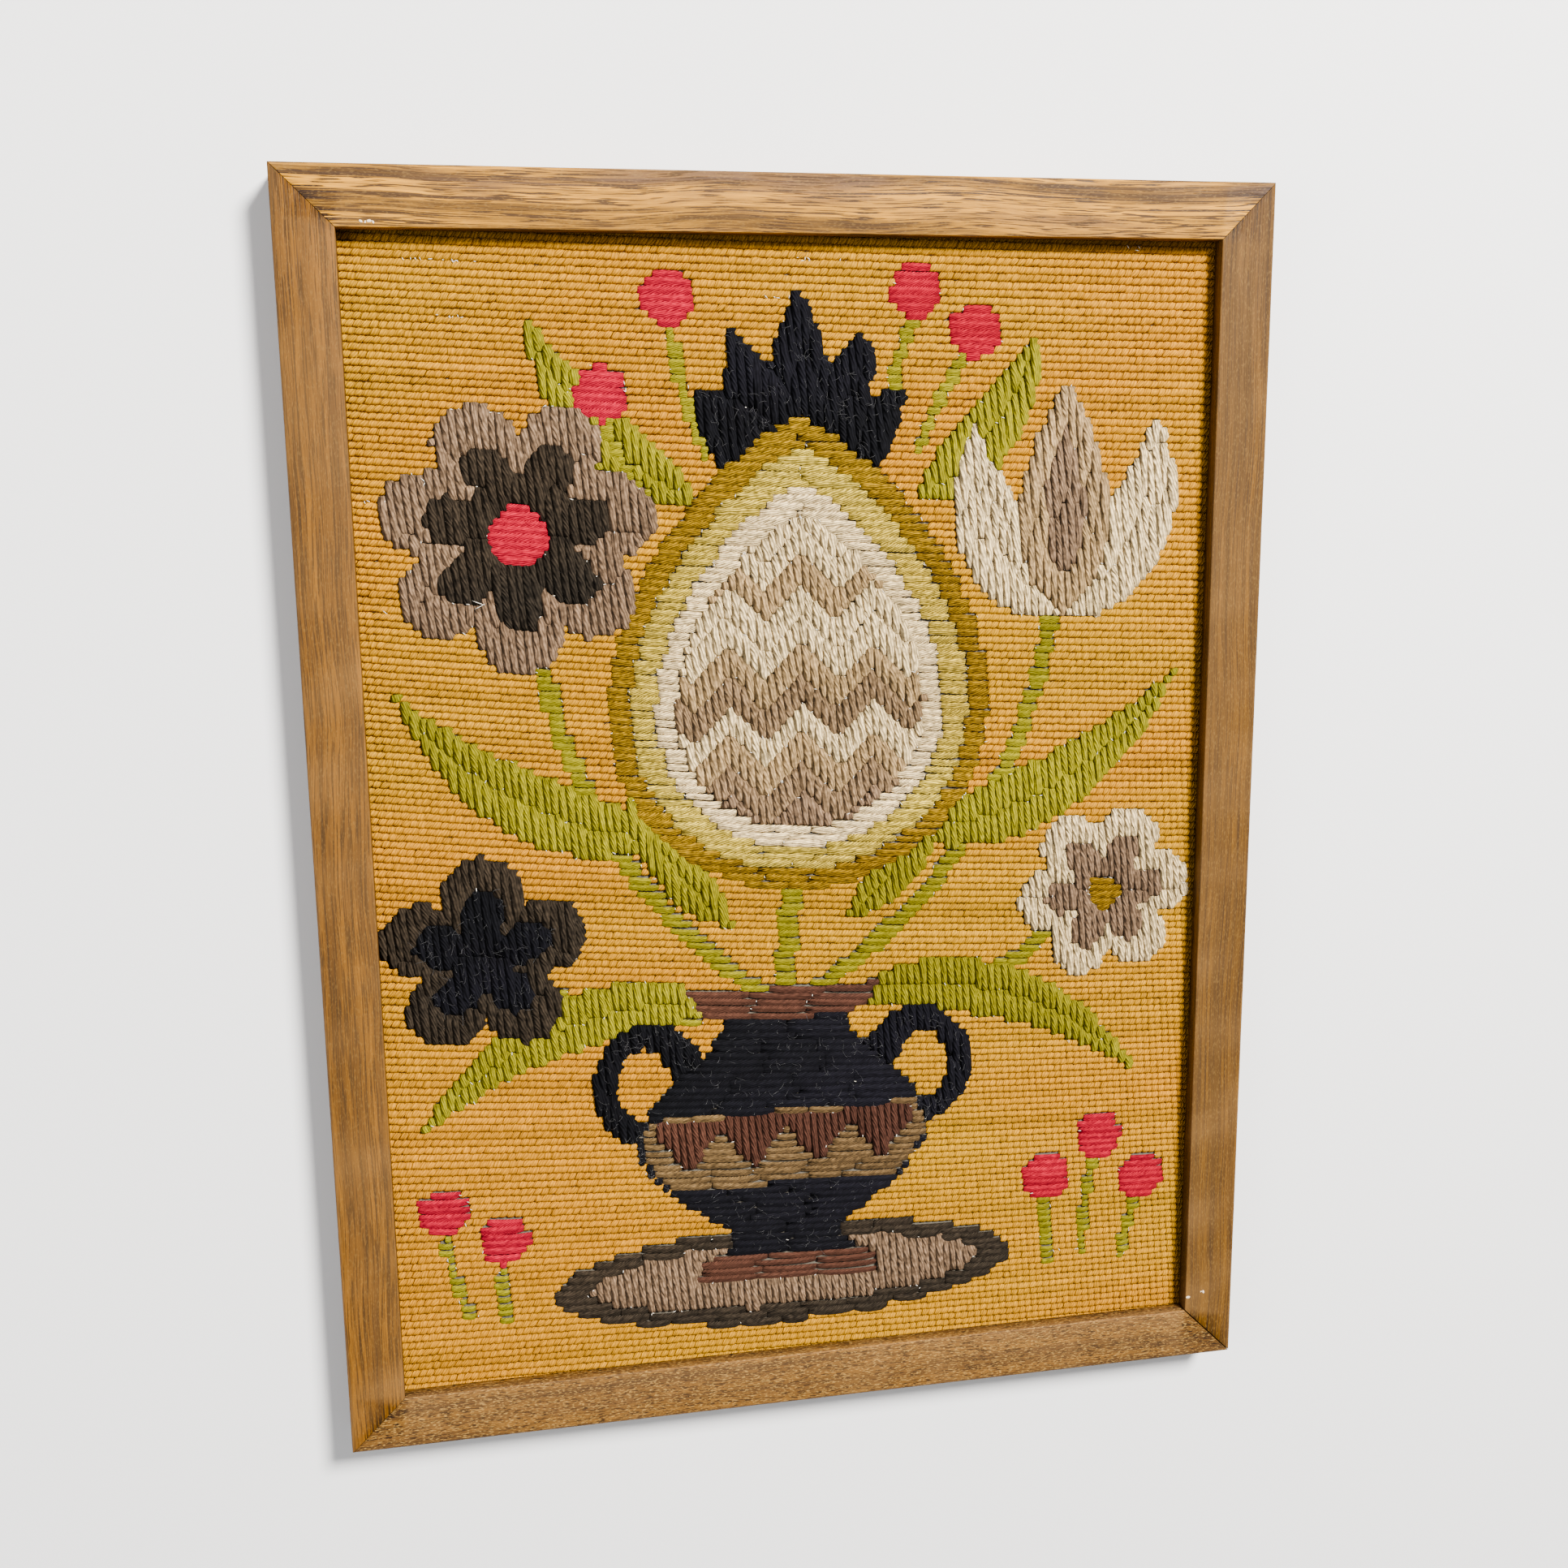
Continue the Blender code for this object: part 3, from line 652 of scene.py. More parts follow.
def laid(
    strand, ends, half_width, half_height, level, rise, tone,
    bow=0.0, taper=0.45, lay=YARN_LAY, in_rows=False,
):
    """Strands laid from (a, b) to (a, b) on the canvas, as arrays ready to join into one mesh.

    Widths, heights and bows are in metres, each one value or one for each strand. The middle
    stands rise above the level. In rows, the strands' width lies along the canvas's rows, so that
    slanted stitches end in line with one another, and they arch evenly from end to end.
    """
    count = len(ends)
    half_width, half_height, level, rise, tone, bow, lay = (
        np.broadcast_to(np.asarray(v, float), (count,))[:, None]
        for v in (half_width, half_height, level, rise, tone, bow, lay)
    )
    across, up, along = strand.points.T
    start_a, start_b, end_a, end_b = np.asarray(ends, float).T
    a = start_a[:, None] + (end_a - start_a)[:, None] * along
    b = start_b[:, None] + (end_b - start_b)[:, None] * along
    x, y = place(a, b)
    x0, y0 = place(start_a, start_b)
    x1, y1 = place(end_a, end_b)
    length = np.hypot(x1 - x0, y1 - y0)
    side_x, side_y = (-(y1 - y0) / length)[:, None], ((x1 - x0) / length)[:, None]
    if in_rows:
        side_x, side_y = ((t - f) / STITCH for t, f in zip(place(a - 1, b), place(a, b)))
    hump = np.sin(pi * along)
    fullness = taper + (1 - taper) * np.clip(hump * 2.2, 0, 1) ** 0.7
    sideways = across * half_width * fullness + bow * hump
    x = x + side_x * sideways
    y = y + side_y * sideways
    arch = np.clip(hump * (1.0 if in_rows else 1.25), 0, 1) ** 0.9
    z = level + rise * arch + up * half_height * fullness + swell(x, y)
    # Low depth paints shade on a strand's flanks and underside and towards its ends; in rows it fades
    # smoothly from the middle to the ends.
    fall = 0.45 + 0.55 * np.clip(hump * 2.4, 0, 1)
    if in_rows:
        fall = 0.2 + 0.8 * np.clip(hump, 0, 1) ** 0.8
    depth = np.clip(0.62 + 0.5 * up, 0, 1) * fall
    corner_u = (length[:, None] * 1000 * along)[:, strand.corners]
    lay = lay * rng.normal(1, 0.35, count)[:, None]
    corner_v = strand.around + rng.uniform(0, 1, count)[:, None] + corner_u * lay
    corner_u = corner_u + rng.uniform(0, 50, count)[:, None]
    faces = strand.corners + np.arange(count)[:, None] * len(strand.points)
    return {
        "points": np.stack([x, y, z], axis=-1).reshape(-1, 3),
        "corners": faces.ravel(),
        "counts": np.tile(strand.counts, count),
        "uv": np.stack([corner_u, corner_v], axis=-1).reshape(-1, 2),
        "tone": np.broadcast_to(tone, x.shape).ravel(),
        "depth": np.broadcast_to(depth, x.shape).ravel(),
    }


def new_object(name, data):
    """An object in the scene, for a mesh, a camera or a light."""
    made = bpy.data.objects.new(name, data)
    bpy.context.scene.collection.objects.link(made)
    return made


def modelled(name, shape, material):
    """An object with the mesh of a finished shape."""
    mesh = bpy.data.meshes.new(name)
    shape.to_mesh(mesh)
    shape.free()
    mesh.materials.append(material)
    return new_object(name, mesh)


def joined(name, batches, material):
    """One piece from the laid strands, riding on the picture."""
    shifts = np.cumsum([0] + [len(batch["points"]) for batch in batches[:-1]])
    corners = np.concatenate([batch["corners"] + shift for batch, shift in zip(batches, shifts)])
    keys = ("points", "counts", "uv", "tone", "depth")
    whole = {key: np.concatenate([batch[key] for batch in batches]) for key in keys}
    starts = np.cumsum(whole["counts"]) - whole["counts"]
    mesh = bpy.data.meshes.new(name)
    mesh.vertices.add(len(whole["points"]))
    mesh.vertices.foreach_set("co", whole["points"].astype(np.float32).ravel())
    mesh.loops.add(len(corners))
    mesh.loops.foreach_set("vertex_index", corners.astype(np.int32))
    mesh.polygons.add(len(starts))
    mesh.polygons.foreach_set("loop_start", starts.astype(np.int32))
    mesh.update(calc_edges=True)
    mesh.uv_layers.new(name="yarn").data.foreach_set("uv", whole["uv"].astype(np.float32).ravel())
    for key in ("tone", "depth"):
        values = mesh.attributes.new(key, "FLOAT", "POINT").data
        values.foreach_set("value", whole[key].astype(np.float32))
    mesh.shade_smooth()
    mesh.materials.append(material)
    piece = new_object(name, mesh)
    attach(piece, BODY)
    return piece


def linear(colour):
    """A colour as the shader takes it, from its everyday 0 to 255 values."""
    values = [c / 255 for c in colour]
    return [c / 12.92 if c <= 0.04045 else ((c + 0.055) / 1.055) ** 2.4 for c in values] + [1.0]


def sockets(row):
    """A table row as values for a group's sockets, which are named as its columns are."""
    return {
        column.replace("_", " ").capitalize(): linear(value) if isinstance(value, tuple) else value
        for column, value in row._asdict().items()
    }


class Nodes:
    """Short ways to add shader nodes to a tree: all but node and give return outputs of the new nodes."""

    def __init__(self, tree):
        self.tree = tree

    def node(self, kind, values=None, **settings):
        """A node: settings are its own; values go to its sockets, as numbers or other nodes' outputs."""
        made = self.tree.nodes.new("ShaderNode" + kind)
        for name, value in settings.items():
            setattr(made, name, value)
        for socket, value in (values or {}).items():
            if isinstance(value, bpy.types.NodeSocket):
                self.tree.links.new(value, made.inputs[socket])
            else:
                made.inputs[socket].default_value = value
        return made

    def calc(self, operation, first, second=0.0, third=0.0):
        return self.node("Math", {0: first, 1: second, 2: third}, operation=operation).outputs[0]

    def times(self, first, second):
        return self.calc("MULTIPLY", first, second)

    def point(self, x, y, z):
        return self.node("CombineXYZ", {0: x, 1: y, 2: z}).outputs[0]

    def here(self):
        return self.node("TexCoord").outputs["Object"]

    def uv(self, name):
        return self.node("SeparateXYZ", {0: self.node("UVMap", uv_map=name).outputs[0]}).outputs[:2]

    def attribute(self, name):
        return self.node("Attribute", attribute_name=name).outputs["Fac"]

    def cloud(self, where, scale, detail):
        return self.node("TexNoise", {"Vector": where, "Scale": scale, "Detail": detail}).outputs[0]

    def spread(self, value, low, high, to_low=0.0, to_high=1.0):
        return self.node("MapRange", {0: value, 1: low, 2: high, 3: to_low, 4: to_high}).outputs[0]

    def blend(self, factor, first, second, way="MIX"):
        values = {0: factor, 6: first, 7: second}
        return self.node("Mix", values, data_type="RGBA", blend_type=way).outputs[2]

    def shaded(self, colour, light):
        grey = self.node("CombineColor", {0: light, 1: light, 2: light}).outputs[0]
        return self.blend(1.0, colour, grey, "MULTIPLY")

    def give(self, **results):
        """The finished group, with its results linked to its outputs."""
        outputs = self.tree.nodes.new("NodeGroupOutput").inputs
        for socket, value in results.items():
            self.tree.links.new(value, outputs[socket])
        return self.tree


def new_group(name, inputs):
    """A shader group with these inputs and their defaults, that gives colour, roughness and height."""
    tree = bpy.data.node_groups.new(name, "ShaderNodeTree")
    for socket, default in inputs.items():
        kind = "NodeSocketColor" if isinstance(default, tuple) else "NodeSocketFloat"
        tree.interface.new_socket(socket, in_out="INPUT", socket_type=kind).default_value = default
    for socket in ("Color", "Roughness", "Height"):
        kind = "NodeSocketColor" if socket == "Color" else "NodeSocketFloat"
        tree.interface.new_socket(socket, in_out="OUTPUT", socket_type=kind)
    return Nodes(tree), tree.nodes.new("NodeGroupInput").outputs


def wool_group():
    """Spun wool: winding plies with painted shade, light and glints, fine fibres, drifting dye, painted
    shade in hollows.
    """
    inputs = {
        "Dye": (0.5, 0.5, 0.5, 1),
        "Dull dye": (0.4, 0.4, 0.4, 1),
        "Plies": 4.0,
        "Ply contrast": 0.35,
        "Streak contrast": 0.2,
        "Hollow shade": 0.5,
        "Fibre contrast": 0.25,
    }
    nodes, given = new_group("Spun wool", inputs)
    calc, times, cloud, spread = nodes.calc, nodes.times, nodes.cloud, nodes.spread
    along, wound = nodes.uv("yarn")
    wander = cloud(nodes.point(times(along, 0.3), times(wound, 4.0), 4.0), 1.0, 0.0)
    plies_passed = calc("MULTIPLY_ADD", wound, given["Plies"], wander)
    ply = calc("MULTIPLY_ADD", calc("COSINE", times(plies_passed, 2 * pi)), -0.5, 0.5)
    this_ply = times(calc("FLOOR", plies_passed), 3.7)
    # Painted glints: each ply lighter and darker in stretches along it.
    painted_glint = cloud(nodes.point(times(along, 0.5), this_ply, 0.0), 1.0, 1.0)
    fibre = cloud(nodes.point(times(along, 0.35), times(wound, 26.0), 0.0), 1.0, 2.0)
    squeeze = {0: nodes.here(), 1: (0.35, 1.0, 1.0)}
    patches = cloud(nodes.node("VectorMath", squeeze, operation="MULTIPLY").outputs[0], 16.0, 2.0)
    dye = nodes.blend(spread(patches, 0.38, 0.62), given["Dye"], given["Dull dye"])
    # Painted shade in the grooves between plies, and painted light on their tops.
    light = calc("MULTIPLY_ADD", calc("SUBTRACT", ply, 1.0), given["Ply contrast"], 1.1)
    for pattern, contrast in ((fibre, "Fibre contrast"), (painted_glint, "Streak contrast")):
        swing = calc("MULTIPLY_ADD", spread(pattern, 0.3, 0.7, -1.0, 1.0), given[contrast], 1.0)
        light = times(light, swing)
    # Painted shade in the hollows, where depth is low.
    light = times(light, spread(nodes.attribute("depth"), 0.0, 1.0, given["Hollow shade"], 1.0))
    # The tone attribute holds random tone, times the painted shadow under the lips.
    light = times(light, nodes.attribute("tone"))
    return nodes.give(
        Color=nodes.shaded(dye, light),
        Roughness=spread(fibre, 0.3, 0.7, 0.95, 0.8),
        Height=calc("MULTIPLY_ADD", fibre, 0.35, ply),
    )


def canvas_group():
    """Plain canvas: stiff threads with a dark hole at each crossing of the lines between stitches, painted
    as shade.
    """
    inputs = {"Thread": (0.7, 0.7, 0.65, 1), "Hole": (0.02, 0.02, 0.02, 1)}
    nodes, given = new_group("Needlework canvas", inputs)
    waves = [nodes.calc("COSINE", nodes.times(way, 2 * pi)) for way in nodes.uv("weave")]
    open_here = nodes.spread(nodes.calc("MINIMUM", *waves), 0.1, 0.5)
    grain = nodes.cloud(nodes.here(), 900.0, 2.0)
    thread = nodes.shaded(given["Thread"], nodes.spread(grain, 0.3, 0.7, 0.75, 1.1))
    return nodes.give(
        Color=nodes.blend(open_here, thread, given["Hole"]),
        Roughness=nodes.spread(grain, 0.3, 0.7, 0.7, 0.9),
        Height=nodes.calc("SUBTRACT", 1.0, open_here),
    )


def oak_group():
    """Oak along X: drifting colour, growth lines, dark pores, and a lighter worn arris."""
    inputs = {
        "Light": (0.5, 0.3, 0.1, 1),
        "Dark": (0.2, 0.1, 0.03, 1),
        "Pore": (0.05, 0.02, 0.01, 1),
        "Line contrast": 0.6,
        "Pore share": 0.5,
        "Pore length": 30.0,
        "Fleck share": 0.2,
        "Stain": 0.3,
        "Turn": 0.0,
    }
    nodes, given = new_group("Varnished oak", inputs)
    calc, times, spread, blend = nodes.calc, nodes.times, nodes.spread, nodes.blend
    turning = {"Vector": nodes.here(), "Angle": given["Turn"]}
    grain_place = nodes.node("VectorRotate", turning, rotation_type="Z_AXIS").outputs[0]
    x, y, z = nodes.node("SeparateXYZ", {0: grain_place}).outputs
    wander = calc("MULTIPLY_ADD", nodes.cloud(grain_place, 14.0, 1.0), 0.006, y)

    def stretched(along, scale, detail):
        return nodes.cloud(nodes.point(along, wander, z), scale, detail)

    bands = stretched(times(x, 0.03), 300.0, 4.0)
    lines = stretched(times(x, 0.008), 1300.0, 2.0)
    grain = stretched(times(x, 0.03), 3600.0, 1.0)
    flecks = stretched(times(x, 0.3), 2600.0, 1.0)
    stain = stretched(times(x, 0.12), 90.0, 4.0)
    pores = stretched(calc("DIVIDE", x, given["Pore length"]), 2300.0, 1.0)
    pores = times(spread(pores, 0.54, 0.60), given["Pore share"])
    colour = blend(spread(bands, 0.36, 0.64), given["Dark"], given["Light"])
    colour = nodes.shaded(colour, spread(grain, 0.3, 0.7, 0.74, 1.26))
    colour = blend(times(spread(lines, 0.575, 0.63), given["Line contrast"]), colour, given["Pore"])
    colour = blend(times(spread(stain, 0.52, 0.70), given["Stain"]), colour, linear(OAK_STAIN))
    colour = blend(pores, colour, given["Pore"])
    colour = blend(times(spread(flecks, 0.56, 0.66), given["Fleck share"]), colour, linear(OAK_FLECK))
    wear = nodes.attribute("wear")
    colour = blend(times(wear, 0.35), colour, linear(OAK_RUBBED))
    colour = nodes.shaded(colour, spread(nodes.attribute("shade"), 0.0, 1.0, 1.0, 0.62))
    return nodes.give(
        Color=colour,
        Roughness=calc("MULTIPLY_ADD", wear, 0.5, spread(bands, 0.3, 0.7, 0.5, 0.36)),
        Height=calc("SUBTRACT", times(lines, 0.3), pores),
    )


def blank_material(name, roughness=0.5):
    """A new material, with ways to add its nodes, and its shader's inputs."""
    material = bpy.data.materials.new(name)
    material.use_nodes = True
    nodes = Nodes(material.node_tree)
    shader = nodes.tree.nodes["Principled BSDF"].inputs
    shader["Roughness"].default_value = roughness
    return material, nodes, shader


def finished_material(name, group, values, bump, bump_depth, **shader_values):
    """A material whose colour, roughness and relief come from a group."""
    material, nodes, shader = blank_material(name)
    made = nodes.node("Group", values, node_tree=group).outputs
    relief = {"Height": made["Height"], "Strength": bump, "Distance": bump_depth}
    nodes.tree.links.new(made["Color"], shader["Base Color"])
    nodes.tree.links.new(made["Roughness"], shader["Roughness"])
    nodes.tree.links.new(nodes.node("Bump", relief).outputs[0], shader["Normal"])
    for socket, value in shader_values.items():
        shader[socket.replace("_", " ")].default_value = value
    return material


def wool_materials():
    """The yarns, the dark yarns' loose fibre, and the pale thread that the canvas is made of."""
    group = wool_group()
    made = {}
    for name, yarn in YARNS.items():
        values = sockets(yarn)
        relief = values.pop("Relief")
        made[name] = finished_material(f"wool_{name}", group, values, 1.0, relief, Specular_IOR_Level=0.06)
    values = {"Dye": linear(FUZZ), "Dull dye": linear(DULL_FUZZ), "Ply contrast": 0.0}
    made["fuzz"] = finished_material("loose_dark_fibre", group, values, 0.1, 0.0001, Sheen_Weight=0.6)
    values = {"Dye": linear(BARE_THREAD), "Dull dye": linear(DULL_BARE_THREAD), "Ply contrast": 0.1}
    made["thread"] = finished_material("canvas_thread", group, values, 0.2, 0.0001, Specular_IOR_Level=0.6)
    return made


def paint_material():
    """Dried paint with faint blotches."""
    material, nodes, shader = blank_material("dried_paint", 0.7)
    blotches = nodes.cloud(nodes.here(), 1500.0, 2.0)
    colour = nodes.blend(blotches, linear(PAINT), linear(DULL_PAINT))
    nodes.tree.links.new(colour, shader["Base Color"])
    return material


def rail_profile():
    """Cross-section of the moulding, as (distance out from the sight edge, height)."""
    corners = (
        (0.0, LIP_BACK, LIP_ARRIS),
        (LIP, LIP_BACK, LIP_ARRIS),
        (LIP, 0.0, BACK_ARRIS),
        (RAIL_WIDTH, 0.0, BACK_ARRIS),
        (RAIL_WIDTH, FACE_Z, OUTER_ARRIS),
        (0.0, FACE_Z, INNER_ARRIS),
    )
    segments = 4
    profile = []
    for k, (across, height, radius) in enumerate(corners):
        arms = []
        for other in (corners[k - 1], corners[(k + 1) % len(corners)]):
            gap = hypot(other[0] - across, other[1] - height)
            arms.append(((other[0] - across) / gap * radius, (other[1] - height) / gap * radius))
        centre = (across + arms[0][0] + arms[1][0], height + arms[0][1] + arms[1][1])
        for s in range(segments + 1):
            turn = pi / 2 * s / segments
            point = (c - arms[1][i] * cos(turn) - arms[0][i] * sin(turn) for i, c in enumerate(centre))
            profile.append(tuple(point))
    return profile


def wear_down(shape, turn):
    """Rub the front arrises, and mark the wear and the lip's shaded edge for the material."""
    wear = shape.verts.layers.float.new("wear")
    shade = shape.verts.layers.float.new("shade")
    for vertex in shape.verts:
        x, across, height = vertex.co
        near_inner = 1 - hypot(across, height - FACE_Z) / INNER_WEAR_REACH
        near_outer = 1 - hypot(across - RAIL_WIDTH, height - FACE_Z) / OUTER_WEAR_REACH
        edge = max(near_inner, near_outer, 0.0)
        rub = noise.noise(Vector((x * 60, turn * 7, across * 300)))
        dent = max(0.0, noise.noise(Vector((x * 210, turn * 5 + 3, across * 90))) - 0.25)
        vertex[wear] = min(1.0, edge * (0.7 + 1.2 * max(rub, 0.0)))
        on_lip_edge = height < FACE_Z - LIP_EDGE_BELOW_FACE and across < LIP_EDGE_DEPTH
        vertex[shade] = 1.0 if on_lip_edge else 0.0
        vertex.co.z -= edge * (RUB_DEPTH * (1 + rub) + DENT_DEPTH * dent)


def oak_rail(node, sight_length, offset, turn, openness, material):
    """A mitred length of moulding with worn arrises; openness is how far each mitre gapes in front."""
    shape = bmesh.new()
    reach = sight_length / 2 + 1.5 * RAIL_WIDTH
    ring = [shape.verts.new((-reach, across, height)) for across, height in rail_profile()]
    swept = bmesh.ops.extrude_face_region(shape, geom=[shape.faces.new(ring)])
    moved = [item for item in swept["geom"] if isinstance(item, bmesh.types.BMVert)]
    bmesh.ops.translate(shape, vec=(2 * reach, 0, 0), verts=moved)
    for k in range(1, RAIL_SLICES):
        sliced(shape, (-reach + 2 * reach * k / RAIL_SLICES, 0, 0), (1, 0, 0))
    for end, gape in zip((-1, 1), openness):
        corner = (end * (sight_length / 2 - MITRE_PLAY / sqrt(2)), 0, FACE_Z - MITRE_WEAR_DEPTH)
        for slope in (0.0, gape / sqrt(2) / MITRE_WEAR_DEPTH):
            cut = sliced(shape, corner, (end, -1, slope), clear_outer=True)
            rim = [item for item in cut["geom_cut"] if isinstance(item, bmesh.types.BMEdge)]
            bmesh.ops.holes_fill(shape, edges=rim)
    bmesh.ops.recalc_face_normals(shape, faces=shape.faces)
    wear_down(shape, turn)
    side = Matrix.Rotation(turn, 4, "Z") @ Matrix.Translation((0, offset, 0))
    bmesh.ops.transform(shape, matrix=side, verts=shape.verts)
    piece = modelled(node.replace("frame", "oak"), shape, material)
    piece.data.shade_smooth()
    piece.data.set_sharp_from_angle(angle=radians(40))
    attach(piece, BODY)
    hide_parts(node)


def add_rails():
    """The four rails, each from its own board."""
    group = oak_group()
    tight, gaping = 0.00012, 0.0005
    sides = (
        ("frame_rail_top", 2 * SIGHT_X, SIGHT_Y, 0, (tight, tight)),
        ("frame_rail_bottom", 2 * SIGHT_X, SIGHT_Y, pi, (gaping, tight)),
        ("frame_rail_left", 2 * SIGHT_Y, SIGHT_X, pi / 2, (tight, tight)),
        ("frame_rail_right", 2 * SIGHT_Y, SIGHT_X, -pi / 2, (tight, gaping)),
    )
    for node, sight_length, offset, turn, openness in sides:
        name = node.replace("frame", "oak")
        values = sockets(BOARDS[node])
        material = finished_material(name, group, values, 0.35, 0.0002, Specular_IOR_Level=0.15)
        oak_rail(node, sight_length, offset, turn, openness, material)


def paint_flecks():
    """The specks of paint, as flat uneven drops."""
    shape = bmesh.new()
    squash = Matrix.Diagonal((1.25, 0.75, 0.14, 1))
    for k, fleck in enumerate(PAINT_FLECKS):
        made = bmesh.ops.create_icosphere(shape, subdivisions=2, radius=fleck.radius)["verts"]
        spot = Matrix.Translation((fleck.x, fleck.y, FACE_Z)) @ Matrix.Rotation(k * 1.9, 4, "Z") @ squash
        bmesh.ops.transform(shape, matrix=spot, verts=made)
    piece = modelled("paint_flecks", shape, paint_material())
    piece.data.shade_smooth()
    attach(piece, BODY)


def canvas_sheet():
    """The bare canvas under the stitches, as a thin closed sheet stretched flat."""
    shape = bmesh.new()
    bmesh.ops.create_grid(shape, x_segments=60, y_segments=80, size=1)
    for vertex in shape.verts:
        x, y = vertex.co.x * CLOTH_HIGH.x, vertex.co.y * CLOTH_HIGH.y
        vertex.co = (x, y, CANVAS_TOP + float(swell(x, y)))
    weave = shape.loops.layers.uv.new("weave")
    for face in shape.faces:
        for corner in face.loops:
            corner[weave].uv = canvas_point(corner.vert.co.x, corner.vert.co.y)
    bmesh.ops.solidify(shape, geom=shape.faces[:], thickness=CANVAS_THICKNESS)
    bmesh.ops.recalc_face_normals(shape, faces=shape.faces)
    # Canvas colours with painted shade: it is only seen in the shaded gaps between stitches.
    values = {"Thread": linear(SHADED_CANVAS_THREAD), "Hole": linear(SHADED_CANVAS_HOLE)}
    material = finished_material("needlework_canvas", canvas_group(), values, 0.5, 0.0004)
    piece = modelled("canvas_sheet", shape, material)
    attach(piece, BODY)
    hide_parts("stitched_canvas")
    return piece


def lip_shade(ends):
    """How much darker each stitch is painted, as shadow under the right and top lips."""
    x, y = place(ends[:, [0, 2]].mean(axis=1), ends[:, [1, 3]].mean(axis=1))
    near = np.minimum(SIGHT_X - x, SIGHT_Y - y)
    return 1 - LIP_PAINTED_SHADOW * np.exp(-np.clip(near, 0, 1) / LIP_PAINTED_SHADOW_REACH)


def dye_lots(rows, columns):
    """A tone and a beadiness for each cell of the ground: a length of yarn fills a stretch of its row."""
    tones = np.ones((len(rows), len(columns)))
    beads = np.ones((len(rows), len(columns)))
    for k in range(len(rows)):
        row_tone = rng.normal(1.0, 0.06)
        row_bead = rng.choice((0.2, 0.5, 0.9, 1.0))
        at = -int(rng.integers(0, 50))
        while at < len(columns):
            run = int(rng.integers(35, 75))
            stretch = slice(max(at, 0), max(at + run, 0))
            tones[k, stretch] = row_tone + rng.normal(0, 0.05)
            beads[k, stretch] = row_bead + rng.normal(0, 0.12)
            at += run
    return tones, beads


def ground_stitches(chart):
    """The slanted stitches of the ground in four pieces, with the floats behind them."""
    rows = chart.rows
    tones, beads = dye_lots(rows, chart.columns)
    batches = []
    for quarter in range(4):
        chosen = np.zeros_like(chart.on_canvas)
        chosen[len(rows) * quarter // 4:len(rows) * (quarter + 1) // 4] = True
        k, j = np.nonzero(chosen & chart.on_canvas & (chart.numbers < 0))
        a, b = chart.columns[j], rows[k]
        count = len(a)
        bead = np.clip(beads[k, j] + rng.normal(0, 0.15, count), 0, 1)
        # The stitches stand more and more upright towards the lower right.
        upright = np.clip((a / HALF_COLUMNS - b / HALF_ROWS) / 1.4 - 0.2, 0, 1)
        run_a = (TENT_ACROSS + TENT_BEAD_ACROSS * bead) * (1 - 0.5 * upright) * rng.normal(1, 0.15, count)
        run_b = TENT_UP * rng.normal(1, 0.04, count)
        shift_a, shift_b = rng.normal(0, 0.03, count), rng.normal(0, 0.025, count)
        low_a, high_a = a - run_a + shift_a, a + run_a + shift_a
        low_b, high_b = b - run_b + shift_b, b + run_b + shift_b
        ends = np.stack([low_a, low_b, high_a, high_b], 1)
        share = TENT_WIDTH - TENT_BEAD_NARROWER * np.maximum(bead, upright)
        width = share * rng.normal(1, 0.05, count) * STITCH
        height = TENT_HEIGHT * (0.9 + 0.15 * bead)
        level = TENT_LEVEL + rng.normal(0, 0.00003, count)
        # Random tone, times the painted shadow under the lips.
        tone = tones[k, j] * rng.normal(1, 0.03, count) * lip_shade(ends)
        in_rows = {"taper": TENT_TAPER, "lay": TENT_LAY, "in_rows": True}
        fronts = laid(TENT_STRAND, ends, width, height, level, TENT_RISE, tone, **in_rows)
        past_edge = np.abs(place(a - 1.5, b)[0]) > CLOTH_HIGH.x - BACK_MARGIN
        back_ends = np.stack([a + 0.5, b + 0.5, np.where(past_edge, a - 0.5, a - 1.5), b - 0.5], 1)
        width = TENT_BACK_WIDTH * STITCH
        backs = laid(FLOAT_STRAND, back_ends, width, BACK_HEIGHT, BACK_LEVEL, 0.0, tone, taper=1.0)
        batches.append([fronts, backs])
    return batches


def long_yarn(ends, width_share):
    """The long stitches of one yarn and the floats behind them."""
    count = len(ends)
    upright = np.abs(ends[:, 0] - ends[:, 2]) < 0.1
    length = np.hypot(ends[:, 2] - ends[:, 0], ends[:, 3] - ends[:, 1])
    ends = ends + rng.normal(0, 0.06, ends.shape)
    short = ~upright & (length < SHORT)
    share = width_share - NARROWER + UPRIGHT_WIDER * upright - SHORT_NARROWER * short
    width = share * rng.normal(1, 0.06, count) * STITCH
    height = LONG_HEIGHT * np.where(upright, 1.0, 1.12)
    lay = YARN_LAY * np.where(upright, 1.0, 2.0)
    rise = LONG_RISE * np.clip(0.75 + 0.04 * length, 0.75, 1.1) * rng.normal(1, 0.08, count)
    bow = rng.normal(0, 0.05, count) * STITCH * np.clip(length / 6, 0.3, 1.3)
    # Random tone, times the painted shadow under the lips.
    tone = rng.normal(1.0, 0.07, count) * lip_shade(ends)
    fronts = laid(LONG_STRAND, ends, width, height, LONG_LEVEL, rise, tone, bow, LONG_TAPER, lay)
    width = LONG_BACK_WIDTH * STITCH
    backs = laid(FLOAT_STRAND, ends, width, BACK_HEIGHT, BACK_LEVEL, 0.0, tone, taper=1.0)
    return [fronts, backs]


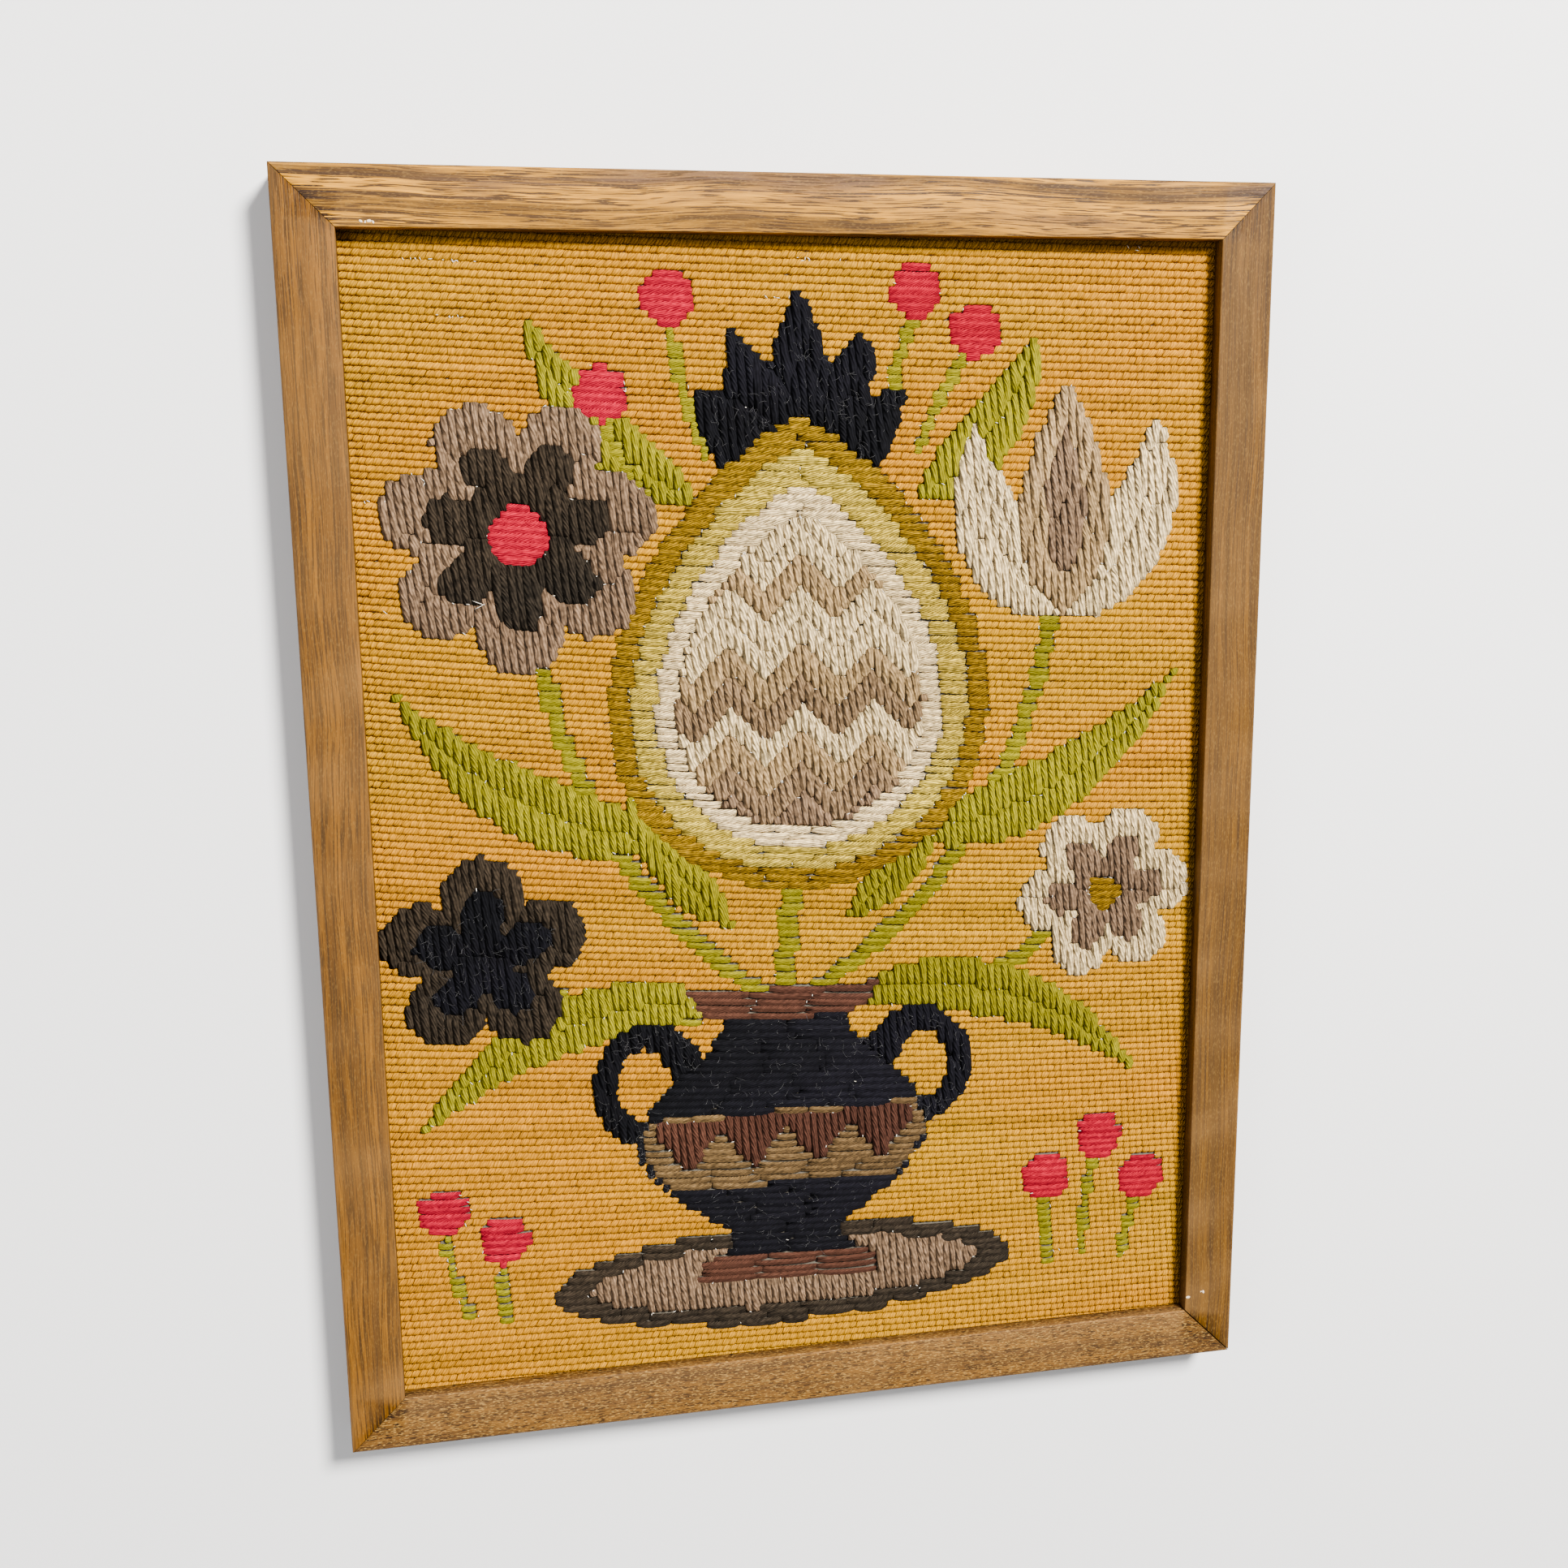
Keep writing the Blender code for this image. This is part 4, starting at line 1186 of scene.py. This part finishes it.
def stray_hairs(ends, per_stitch, tone):
    """Loose fibres that stand off the long stitches."""
    count = int(len(ends) * per_stitch)
    chosen = ends[rng.integers(0, len(ends), count)]
    way = rng.uniform(0, 1, (count, 1))
    start = chosen[:, :2] + (chosen[:, 2:] - chosen[:, :2]) * way
    turn = rng.uniform(0, 2 * pi, count)
    reach = rng.uniform(*HAIR_REACHES, count)
    finish = start + np.stack([np.cos(turn) * reach, np.sin(turn) * reach], 1)
    level = LONG_LEVEL + LONG_RISE + 0.6 * LONG_HEIGHT
    rise = rng.uniform(*HAIR_RISES, count)
    bow = rng.normal(0, HAIR_BOW, count)
    hair_ends = np.concatenate([start, finish], 1)
    return laid(HAIR_STRAND, hair_ends, HAIR_RADIUS, HAIR_RADIUS, level, rise, tone, bow, HAIR_TAPER)


def canvas_specks(stitches, material):
    """Bits of white canvas thread that show where stitches end, and pale lint on the face."""
    spots, levels = [], []
    for yarn, rows in sorted(stitches.items()):
        ends = np.concatenate([rows[:, :2], rows[:, 2:]])
        share = DARK_SPECK_SHARE if yarn in ("black", "dark_brown") else SPECK_SHARE
        count = int(len(ends) * share)
        spots.append(ends[rng.integers(0, len(ends), count)])
        levels += [STITCH_SPECK_LEVELS] * count
    for bare in BARE_ROWS:
        at = rng.uniform(bare.first, bare.last, bare.last - bare.first)
        spots.append(np.stack([at, np.full(len(at), bare.row + 1.0)], 1))
        levels += [BARE_SPECK_LEVELS] * len(at)
    spots = np.concatenate(spots)
    count = len(spots)
    spots = spots + rng.normal(0, 0.10, (count, 2))
    turn = np.where(rng.uniform(0, 1, count) > 0.5, 0, pi / 2) + rng.normal(0, 0.4, count)
    half = rng.uniform(0.10, 0.28, count)
    reach = np.stack([np.cos(turn) * half, np.sin(turn) * half], 1)
    ends = np.concatenate([spots - reach, spots + reach], 1)
    level = rng.uniform(*np.array(levels).T)
    bits = laid(HAIR_STRAND, ends, SPECK_RADIUS, SPECK_RADIUS, level, SPECK_RISE, 1.0)
    lint = laid(HAIR_STRAND, LINT, LINT_RADIUS, LINT_RADIUS, LINT_LEVEL, SPECK_RISE, 1.05)
    return joined("canvas_specks", [bits, lint], material)


def add_needlework():
    """Canvas, ground, design and loose fibres."""
    wool = wool_materials()
    fields = design()
    chart = chart_of(fields)
    for quarter, batches in enumerate(ground_stitches(chart)):
        joined(f"ground_stitches_{quarter + 1}", batches, wool["ground"])
    stitches = long_stitches(fields, chart)
    for yarn, ends in sorted(stitches.items()):
        batches = long_yarn(ends, LONG_WIDTHS.get(yarn, LONG_WIDTH))
        joined(f"{yarn}_stitches", batches, wool[yarn])
    fuzz = stray_hairs(stitches["black"], FUZZ_PER_STITCH, 1.0)
    joined("black_stray_hairs", [fuzz], wool["fuzz"])
    for yarn in ("green", "white", "straw", "gold", "taupe", "pink"):
        hairs = stray_hairs(stitches[yarn], HAIRS_PER_STITCH, HAIR_TONE)
        joined(f"{yarn}_stray_hairs", [hairs], wool[yarn])
    canvas_specks(stitches, wool["thread"])
    canvas = canvas_sheet()


def add_camera():
    """The photograph's view: close above the upper left, turned towards the lower right."""
    camera = new_object("camera", bpy.data.cameras.new("camera"))
    stand = Vector((-0.1126, 0.1219, FACE_Z + 0.5489))
    aim = Vector((-0.0079, 0.0162, FACE_Z))
    up = Vector((0.0470, 0.9825, -0.1802))
    look = (aim - stand).normalized()
    right = look.cross(up).normalized()
    axes = Matrix((right, right.cross(look), -look)).transposed()
    camera.matrix_world = Matrix.Translation(stand) @ axes.to_4x4()
    camera.data.lens = 38.05
    camera.data.sensor_width = 36.0
    camera.data.clip_start = 0.01
    bpy.context.scene.camera = camera


def add_light(name, place_at, size, power, colour):
    """A round soft light aimed at the middle of the picture."""
    data = bpy.data.lights.new(name, "AREA")
    data.shape = "DISK"
    data.size = size
    data.energy = power
    data.color = colour
    lamp = new_object(name, data)
    lamp.location = place_at
    lamp.rotation_euler = (-Vector(place_at)).to_track_quat("-Z", "Y").to_euler()


def add_room():
    """Pale floor and soft light that falls from the upper right of the picture."""
    shape = bmesh.new()
    bmesh.ops.create_grid(shape, x_segments=1, y_segments=1, size=3)
    bmesh.ops.translate(shape, vec=(0, 0, -0.0002), verts=shape.verts)
    material, _, shader = blank_material("pale_floor", 0.8)
    shader["Base Color"].default_value = (0.86, 0.86, 0.86, 1)
    floor = modelled("floor", shape, material)
    add_light("key", (0.88, 1.30, 1.68), 0.60, 250.0, (1.0, 0.97, 0.93))
    add_light("fill", (-1.3, 0.1, 1.1), 1.2, 16.0, (0.98, 0.98, 1.0))
    world = bpy.data.worlds.new("room_light")
    world.use_nodes = True
    background = world.node_tree.nodes["Background"].inputs
    background["Color"].default_value = (1, 1, 1, 1)
    background["Strength"].default_value = 0.27
    bpy.context.scene.world = world


add_camera()
add_room()
add_rails()
paint_flecks()
add_needlework()
bpy.context.view_layer.update()
